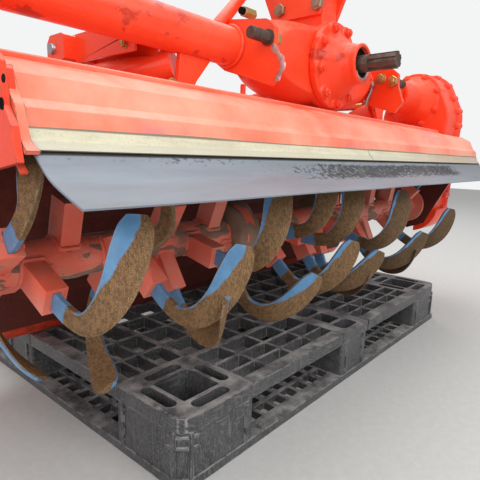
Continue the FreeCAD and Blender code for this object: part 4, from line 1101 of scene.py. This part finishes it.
def case_outline(inset, count):
    """Points round the chain case, evenly spaced."""
    turns = 720
    dense = []
    for k in range(turns):
        cos, sin = math.cos(2 * math.pi * k / turns), math.sin(2 * math.pi * k / turns)
        y, z, radius = max(CASE_CIRCLES, key=lambda c: c[0] * cos + c[1] * sin + c[2])
        dense.append(Vector((0, y + (radius - inset) * cos, z + (radius - inset) * sin)))
    lengths = [0.0]
    for k in range(turns):
        lengths.append(lengths[-1] + (dense[(k + 1) % turns] - dense[k]).length)
    places = []
    k = 0
    for i in range(count):
        want = lengths[-1] * i / count
        while lengths[k + 1] < want:
            k += 1
        share = (want - lengths[k]) / max(1e-9, lengths[k + 1] - lengths[k])
        places.append(dense[k].lerp(dense[(k + 1) % turns], share))
    return places


# Operators
class ROTAVATOR_OT_tines(bpy.types.Operator):
    """Bent tines with paint left near root and tip, and the sockets' bolts and welds"""

    bl_idname = "rotavator.tines"
    bl_label = "Tines"

    def execute(self, context):
        settings = context.scene.rotavator_tines
        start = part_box("bearing_housing")[1][0] + 0.006
        blades, welds, bolts = Form(), Form(), Form()
        for place, angle, side in TINES:
            x = start + place * MM
            tine_form(blades, x, angle, side, settings)
            socket_weld(welds, x, angle)
            out = Matrix.Rotation(math.radians(angle), 3, "X") @ Y
            seat = Vector((x, ROTOR.y, ROTOR.z)) + out * SOCKET_TOP
            bolts.bolt(seat + X * 0.0148, X, 0.0046, math.radians(angle), 0.003, washer=False)
        made = blades.piece("tine_blades", "rotor", "tine_steel", "tine_steel", 40)
        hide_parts("tines")
        welds.piece("socket_welds", "rotor", "rotor_paint", "rotor_paint", 60)
        bolts.piece("socket_bolts", "rotor", "rotor_paint", "rotor_paint", 30)
        return {"FINISHED"}


class ROTAVATOR_OT_soil(bpy.types.Operator):
    """Dried soil on the rotor"""

    bl_idname = "rotavator.soil"
    bl_label = "Soil"

    def execute(self, context):
        low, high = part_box("rotor_pipe")
        form = Form()
        crust(form, low[0] + 0.040, high[0] - 0.060, PIPE_R, thick=0.0042, seed=3.7, cover=-0.13)
        crust(form, *COUPLING, thick=0.0056, seed=9.1, cover=0.02)
        form.piece("dry_soil", "rotor", "soil_crust", "rotor_paint", 80)
        return {"FINISHED"}


class ROTAVATOR_OT_gear_case(bpy.types.Operator):
    """Cast front cover with ribs, bosses and bolts, and the seal's grease"""

    bl_idname = "rotavator.gear_case"
    bl_label = "Gear case"

    def execute(self, context):
        low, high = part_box("gear_case_cover")
        front = high[1]
        length = front - low[1]
        centre = Vector((AXIS.x, front, AXIS.z))
        out = -Y
        cover = Form()
        cover.lathe(((0, 0.0965), (0.002, 0.097), (0.014, 0.097), (0.016, 0.0955), (0.0165, 0.080),
                     (0.019, 0.0750), (0.025, 0.0685), (0.034, 0.0610), (0.043, 0.0535),
                     (0.052, 0.0475), (length - 0.012, 0.0425), (length - 0.009, 0.0435),
                     (length, 0.0435),
                     (length, 0.0350), (length - 0.012, 0.0335), (length - 0.012, 0.0200)),
                    centre, out, 72)
        side, up = basis(out)
        bolts = Form()
        count = 9
        bolt_circle = 0.0835
        for k in range(count):
            a = 2 * math.pi * (k + 0.25) / count
            spot = centre + spoke(side, up, a) * bolt_circle
            cover.lathe(((0.004, 0.0150), (0.019, 0.0150), (0.0215, 0.0125), (0.0215, 0.001)),
                        spot, out, 20)
            bolts.bolt(spot + out * 0.0210, out, 0.0058, a, 0.003)
            if k % 3 != 2:
                continue
            way = spoke(side, up, a + math.pi / count)
            thin = out.cross(way) * 0.0070
            outline = ((0.040, 0.012), (0.084, 0.012), (0.083, 0.019), (0.068, 0.028),
                       (0.053, 0.046), (0.040, 0.052))
            cover.skin([[centre + way * r + out * d + thin * s for r, d in outline]
                        for s in (-1, 1)])
        made = cover.piece("case_cover_casting", "frame", "cast_enamel", "case_paint", 60)
        cast_skin(made, grain=0.0019, rounds=9)
        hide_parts("gear_case_cover")
        bolts.piece("case_cover_bolts", "frame", "cast_enamel", "case_paint", 30)

        grease = Form()
        path = [centre + out * (length - 0.004) + spoke(side, up, math.radians(35 + 2 * k)) * 0.0325
                for k in range(61)]
        grease.sweep(path, lambda t: 0.0030 + 0.0010 * noise.noise(Vector((t * 9, 2, 5))), 9)
        smear_form(grease)
        grease.piece("old_grease", "frame", "grease", "dark_steel", 70)
        seal = Form()
        seal.lathe(((length - 0.0140, 0.0335), (length - 0.0095, 0.0335), (length - 0.0085, 0.0300),
                    (length - 0.0100, 0.0240), (length - 0.0105, 0.0195)), centre, out, 40)
        seal.piece("shaft_seal", "frame", "black_and_hole_shade", "dark_steel", 40)
        for name in ("gear_case", "chain_case"):
            cast_skin(frame["nodes"][name], grain=0.0026, rounds=7)
        return {"FINISHED"}


class ROTAVATOR_OT_chain_case(bpy.types.Operator):
    """Bosses and bolts on the chain case's rim and round its socket"""

    bl_idname = "rotavator.chain_case"
    bl_label = "Chain case"

    def execute(self, context):
        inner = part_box("chain_case_cover")[0]
        bosses, bolts = Form(), Form()
        for k, place in enumerate(case_outline(inset=0.009, count=26)):
            spot = Vector((inner[0], place.y, place.z))
            bosses.lathe(((-0.030, 0.004), (-0.026, 0.0105), (-0.003, 0.0125), (0.0105, 0.0125),
                          (0.0125, 0.0110), (0.0125, 0.001)), spot, X, 18)
            bolts.bolt(spot + X * 0.0120, X, 0.0050, k, 0.003)
        socket = Vector((inner[0] - 0.116, AXIS.y, AXIS.z))
        count = 8
        bolt_circle = 0.082
        for k in range(count):
            a = 2 * math.pi * (k + 0.5) / count
            spot = socket + spoke(Y, Z, a) * bolt_circle
            bosses.lathe(((-0.010, 0.006), (-0.009, 0.0130), (0.030, 0.0150)), spot, X, 18)
            bolts.bolt(spot - X * 0.009, -X, 0.0055, a, 0.004)
        bosses.piece("chain_case_bosses", "frame", "cast_enamel", "case_paint", 40)
        bolts.piece("chain_case_bolts", "frame", "cast_enamel", "case_paint", 30)
        return {"FINISHED"}


class ROTAVATOR_OT_pallet(bpy.types.Operator):
    """Pallet with its open deck, hollow legs and base grid"""

    bl_idname = "rotavator.pallet"
    bl_label = "Pallet"

    def execute(self, context):
        low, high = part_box("pallet_deck")
        deck = Form()
        pallet_deck_form(deck, high[2], high[2] - low[2])
        made = deck.piece("open_deck", "frame", "pallet_plastic", "pallet", 25, 0.0009)
        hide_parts("pallet_deck")
        legs = Form()
        for side_x in (-1, 0, 1):
            for side_y in (-1, 0, 1):
                leg = pallet_leg_form(legs, side_x, side_y, high[2] - 0.0006)
                leg_trim(legs, *leg, side_x, side_y)
        made = legs.piece("hollow_legs", "frame", "pallet_plastic", "pallet", 25, 0.0009)
        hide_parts("pallet_legs")
        base = Form()
        pallet_base_form(base)
        made = base.piece("base_grid", "frame", "pallet_plastic", "pallet", 25, 0.0008)
        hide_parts("pallet_base")
        return {"FINISHED"}


class ROTAVATOR_OT_flap(bpy.types.Operator):
    """Flap that hangs in a smooth curve, its clamping strip and the lip beside it"""

    bl_idname = "rotavator.flap"
    bl_label = "Flap"

    def execute(self, context):
        low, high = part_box("front_flap")
        form = Form()
        flap_form(form, low[0], high[0], low, high)
        made = form.piece("hanging_flap", "frame", "flap_sheet", "flap_rubber", 50)
        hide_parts("front_flap")
        low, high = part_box("zinc_strip")
        form = Form()
        strip_form(form, low[0], high[0], STRIP_BREAK)
        made = form.piece("strip_lengths", "frame", "zinc_strip_sheet", "zinc", 24, 0.0004)
        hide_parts("zinc_strip")
        form = Form()
        end_lip_form(form, low[0] - 0.0095, low[0] + 0.0004)
        form.piece("end_lip", "frame", "cover_enamel", "cover_paint", 40, 0.0006)
        return {"FINISHED"}


class ROTAVATOR_OT_springs(bpy.types.Operator):
    """Coil springs round the cover's rods"""

    bl_idname = "rotavator.springs"
    bl_label = "Springs"

    def execute(self, context):
        for side in ("right", "left"):
            foot = JOINT_AT["rod_" + side + "_swing"]
            head = JOINT_AT["trunnion_" + side + "_swing"]
            way = (head - foot).normalized()
            form = Form()
            spring_form(form, foot + way * 0.038, foot + way * 0.228, radius=0.0208, wire=0.0040,
                        turns=10.5)
            made = form.piece("coil_spring_" + side, "rod_" + side, "spring_steel",
                              "spring_steel", 70)
            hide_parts("cover_spring_" + side)
        return {"FINISHED"}


class ROTAVATOR_OT_fasteners(bpy.types.Operator):
    """Link pins, nuts, bolts and the far side's small rod"""

    bl_idname = "rotavator.fasteners"
    bl_label = "Fasteners"

    def execute(self, context):
        plated, grey, painted, dark, brown = (Form() for _ in range(5))
        for side, name in ((-1, "right"), (1, "left")):
            low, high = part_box("hitch_plate_" + name)
            outer, inner = (low[0], high[0]) if side < 0 else (high[0], low[0])
            pin_low, pin_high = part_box("lower_pin_" + name)
            centre_z = (pin_low[2] + pin_high[2]) / 2
            centre_y = (pin_low[1] + pin_high[1]) / 2
            out = X * side
            length = abs((pin_low[0] if side < 0 else pin_high[0]) - outer)
            pin = Form()
            pin.lathe(((-0.0135, 0.0086), (0.0, 0.0090), (0.0, 0.0145), (0.003, 0.0145),
                       (0.0032, 0.0110), (length - 0.020, 0.0110), (length - 0.0195, 0.0098),
                       (length - 0.0155, 0.0098), (length - 0.0150, 0.0110),
                       (length - 0.0018, 0.0110), (length, 0.0092)),
                      Vector((outer, centre_y, centre_z)), out, 32)
            made = pin.piece("link_pin_" + name, "frame", "dark_steel", "dark_steel", 35)
            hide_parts("lower_pin_" + name)
            plated.bolt(Vector((inner, centre_y, centre_z)), -out, 0.0088, 12, 0.005,
                        washer=False)
        # Bolt over the right hitch plate
        top = Vector((-0.262, -0.396, 0.777))
        plated.lathe(((0, 0.0075), (0.001, 0.0100), (0.030, 0.0100), (0.032, 0.0085)),
                     top, X, 6, 0.3)
        dark.lathe(((-0.007, 0.0065), (0.0, 0.0070)), top, X, 16)
        # columns: seat, outward axis, thread radius, which metal
        for seat, axis, size, metal in (
                ((-0.0130, -0.299, 0.854), -X, 0.0086, brown),
                ((-0.0130, -0.402, 0.851), -X, 0.0086, brown),
                ((-0.4705, -0.313, 0.691), -X, 0.0042, plated),
                ((-0.411, -0.367, 0.628), -Y, 0.0050, plated),
                ((0.471, -0.367, 0.628), -Y, 0.0050, plated),
                ((0.3045, -0.420, 0.732), -X, 0.0070, plated)):
            metal.bolt(Vector(seat), axis, size, 0.4, 0.3 * size, metal is not brown)
        # Small lever beside the left hitch plate, and its rod
        link = Vector((0.296, -0.399, 0.716))
        grey.lathe(((0, 0.003), (0.002, 0.0075), (0.006, 0.0095), (0.011, 0.0095), (0.015, 0.0075),
                    (0.017, 0.003)), link + X * 0.004, -X, 18)
        grey.sweep((link, link + Vector((0.001, 0.004, -0.018)), link + Vector((0, 0.012, -0.036)),
                    link + Vector((0.001, 0.016, -0.052))), 0.0048, 10)
        low_end = link + Vector((0.001, 0.017, -0.050))
        plated.lathe(((-0.013, 0.0045), (0.013, 0.0045)), low_end, X, 14)
        grey.sweep((low_end + X * -0.011 + Z * 0.010, low_end + X * -0.011 - Z * 0.014), 0.0015, 6)
        plated.sweep((low_end, Vector((0.255, -0.338, 0.659)), Vector((0.200, -0.300, 0.642)),
                      Vector((0.150, -0.276, 0.638)), Vector((0.110, -0.262, 0.636))), 0.0042, 10)
        # Peg under the right hitch plate
        painted.lathe(((0, 0.0055), (0.030, 0.0055), (0.031, 0.0045)),
                      Vector((-0.238, -0.380, 0.618)), Z, 16)
        # Welds where plates stand on the beam
        for x in (-0.2625, -0.2415, 0.3015, 0.3225, -0.7585):
            ring = [round_about(AXIS, BEAM_WELD_R, 2 * math.pi * k / 60, x) for k in range(61)]
            painted.sweep(ring, lambda t: 0.0042 + 0.0006 * math.sin(190 * t), 8)
        # Black discs on the right side plate, painted shade where its holes are
        for spot, size in (((-0.7695, -0.549, 0.571), 0.0042), ((-0.7695, -0.541, 0.549), 0.0058)):
            dark.lathe(((0, size), (0.0004, size)), Vector(spot), -X, 20)
        plated.piece("plated_fasteners", "frame", "plated_steel", "plated_steel", 30)
        grey.piece("grey_fasteners", "frame", "grey_steel", "dark_steel", 30)
        brown.piece("mast_bolts", "frame", "brown_steel", "dark_steel", 30)
        painted.piece("weld_beads", "frame", "orange_enamel", "orange_paint", 50)
        dark.piece("dark_details", "frame", "black_and_hole_shade", "dark_steel", 30)
        return {"FINISHED"}


class ROTAVATOR_OT_finishes(bpy.types.Operator):
    """Makes the finishes and puts them on the machine's own parts"""

    bl_idname = "rotavator.finishes"
    bl_label = "Finishes"

    def execute(self, context):
        build_finishes()
        for name, part in frame["nodes"].items():
            part.data.materials.clear()
            own = next((f for start, f in FINISH_OF_NODE if name.startswith(start)), None)
            part.data.materials.append(finish(own or FINISH_OF_SLOT[SLOT_OF[name]]))
            if name in ("gear_case", "chain_case"):
                continue
            weld = part.modifiers.new("join_corners", "WELD")
            weld.merge_threshold = 0.00002
            round_off = part.modifiers.new("soft_edges", "BEVEL")
            round_off.width = 0.0009
            round_off.segments = 2
            round_off.limit_method = "ANGLE"
            round_off.angle_limit = math.radians(32)
        return {"FINISHED"}


class ROTAVATOR_OT_stage(bpy.types.Operator):
    """Floor, light and camera"""

    bl_idname = "rotavator.stage"
    bl_label = "Stage"

    def execute(self, context):
        stage = context.scene.rotavator_stage
        reach = 9.0
        corners = [(-reach, -reach, 0), (reach, -reach, 0), (reach, reach, 0), (-reach, reach, 0)]
        mesh = bpy.data.meshes.new("floor")
        mesh.from_pydata(corners, [], [(0, 1, 2, 3)])
        floor = bpy.data.objects.new("floor", mesh)
        context.scene.collection.objects.link(floor)
        skin = Finish("pale_floor")
        tone = skin.ramp(skin.noise(skin.place, 60.0, 5.0, 0.7), 0.3, 0.7)
        skin.base = skin.blend(tone, shade(stage.floor, 0.93), stage.floor)
        skin.end(0.9)
        mesh.materials.append(finish("pale_floor"))

        world = bpy.data.worlds.new("studio")
        context.scene.world = world
        world.use_nodes = True
        wires = Wiring(world.node_tree)
        world.node_tree.nodes.clear()
        rays = wires.node("ShaderNodeLightPath").outputs
        plain = wires.most(rays["Is Camera Ray"], rays["Is Transmission Ray"])
        lit = wires.node("ShaderNodeBackground", {"Color": (0.97, 0.985, 1.0),
                                                  "Strength": stage.daylight})
        shown = wires.node("ShaderNodeBackground", {"Color": (0.90, 0.905, 0.91), "Strength": 1.0})
        mixed = wires.node("ShaderNodeMixShader",
                           {0: plain, 1: lit.outputs[0], 2: shown.outputs[0]})
        wires.node("ShaderNodeOutputWorld", {"Surface": mixed.outputs[0]})

        # columns: name, place, watts, size
        for name, place, watts, size in (
                ("key_light", (-0.7, -3.3, 2.9), 76.0, 2.6),
                ("fill_light", (-3.2, -1.3, 1.3), 26.0, 1.8),
                ("top_light", (0.3, 0.2, 3.8), 62.0, 3.2),
                ("back_light", (2.6, 2.4, 2.6), 34.0, 2.4)):
            lamp = bpy.data.lights.new(name, "AREA")
            lamp.energy = watts
            lamp.size = size
            holder = bpy.data.objects.new(name, lamp)
            holder.location = place
            aim = MACHINE_MIDDLE - Vector(place)
            holder.rotation_euler = aim.to_track_quat("-Z", "Y").to_euler()
            context.scene.collection.objects.link(holder)

        lens = bpy.data.cameras.new("camera")
        lens.lens = stage.lens
        lens.sensor_width = 36.0
        lens.clip_start = 0.02
        camera = bpy.data.objects.new("camera", lens)
        context.scene.collection.objects.link(camera)
        ahead = Vector((math.sin(stage.yaw) * math.cos(stage.pitch),
                        math.cos(stage.yaw) * math.cos(stage.pitch), -math.sin(stage.pitch)))
        level = Vector((math.cos(stage.yaw), -math.sin(stage.yaw), 0))
        up = level.cross(ahead)
        right = level * math.cos(stage.roll) + up * math.sin(stage.roll)
        top = up * math.cos(stage.roll) - level * math.sin(stage.roll)
        turn = Matrix((right, top, -ahead)).transposed().to_4x4()
        camera.matrix_world = Matrix.Translation(Vector(stage.eye)) @ turn
        context.scene.camera = camera
        context.scene.view_settings.view_transform = "Standard"
        return {"FINISHED"}


class ROTAVATOR_PT_panel(bpy.types.Panel):
    """Lists the steps in their order"""

    bl_idname = "ROTAVATOR_PT_panel"
    bl_label = "Rotavator"
    bl_space_type = "VIEW_3D"
    bl_region_type = "UI"
    bl_category = "Rotavator"

    def draw(self, context):
        for step in STEPS:
            self.layout.operator(step.bl_idname)


STEPS = (ROTAVATOR_OT_stage, ROTAVATOR_OT_finishes, ROTAVATOR_OT_tines, ROTAVATOR_OT_soil,
         ROTAVATOR_OT_gear_case, ROTAVATOR_OT_chain_case, ROTAVATOR_OT_pallet,
         ROTAVATOR_OT_flap, ROTAVATOR_OT_springs, ROTAVATOR_OT_fasteners)
SETTINGS = (PaintSettings, TineSettings, StageSettings)


def register():
    for kind in SETTINGS + STEPS + (ROTAVATOR_PT_panel,):
        bpy.utils.register_class(kind)
    bpy.types.Scene.rotavator_paint = PointerProperty(type=PaintSettings)
    bpy.types.Scene.rotavator_tines = PointerProperty(type=TineSettings)
    bpy.types.Scene.rotavator_stage = PointerProperty(type=StageSettings)


def unregister():
    del bpy.types.Scene.rotavator_stage
    del bpy.types.Scene.rotavator_tines
    del bpy.types.Scene.rotavator_paint
    for kind in reversed(SETTINGS + STEPS + (ROTAVATOR_PT_panel,)):
        bpy.utils.unregister_class(kind)


def main():
    register()
    for step in STEPS:
        group, name = step.bl_idname.split(".")
        getattr(getattr(bpy.ops, group), name)()


if __name__ == "__main__":
    main()
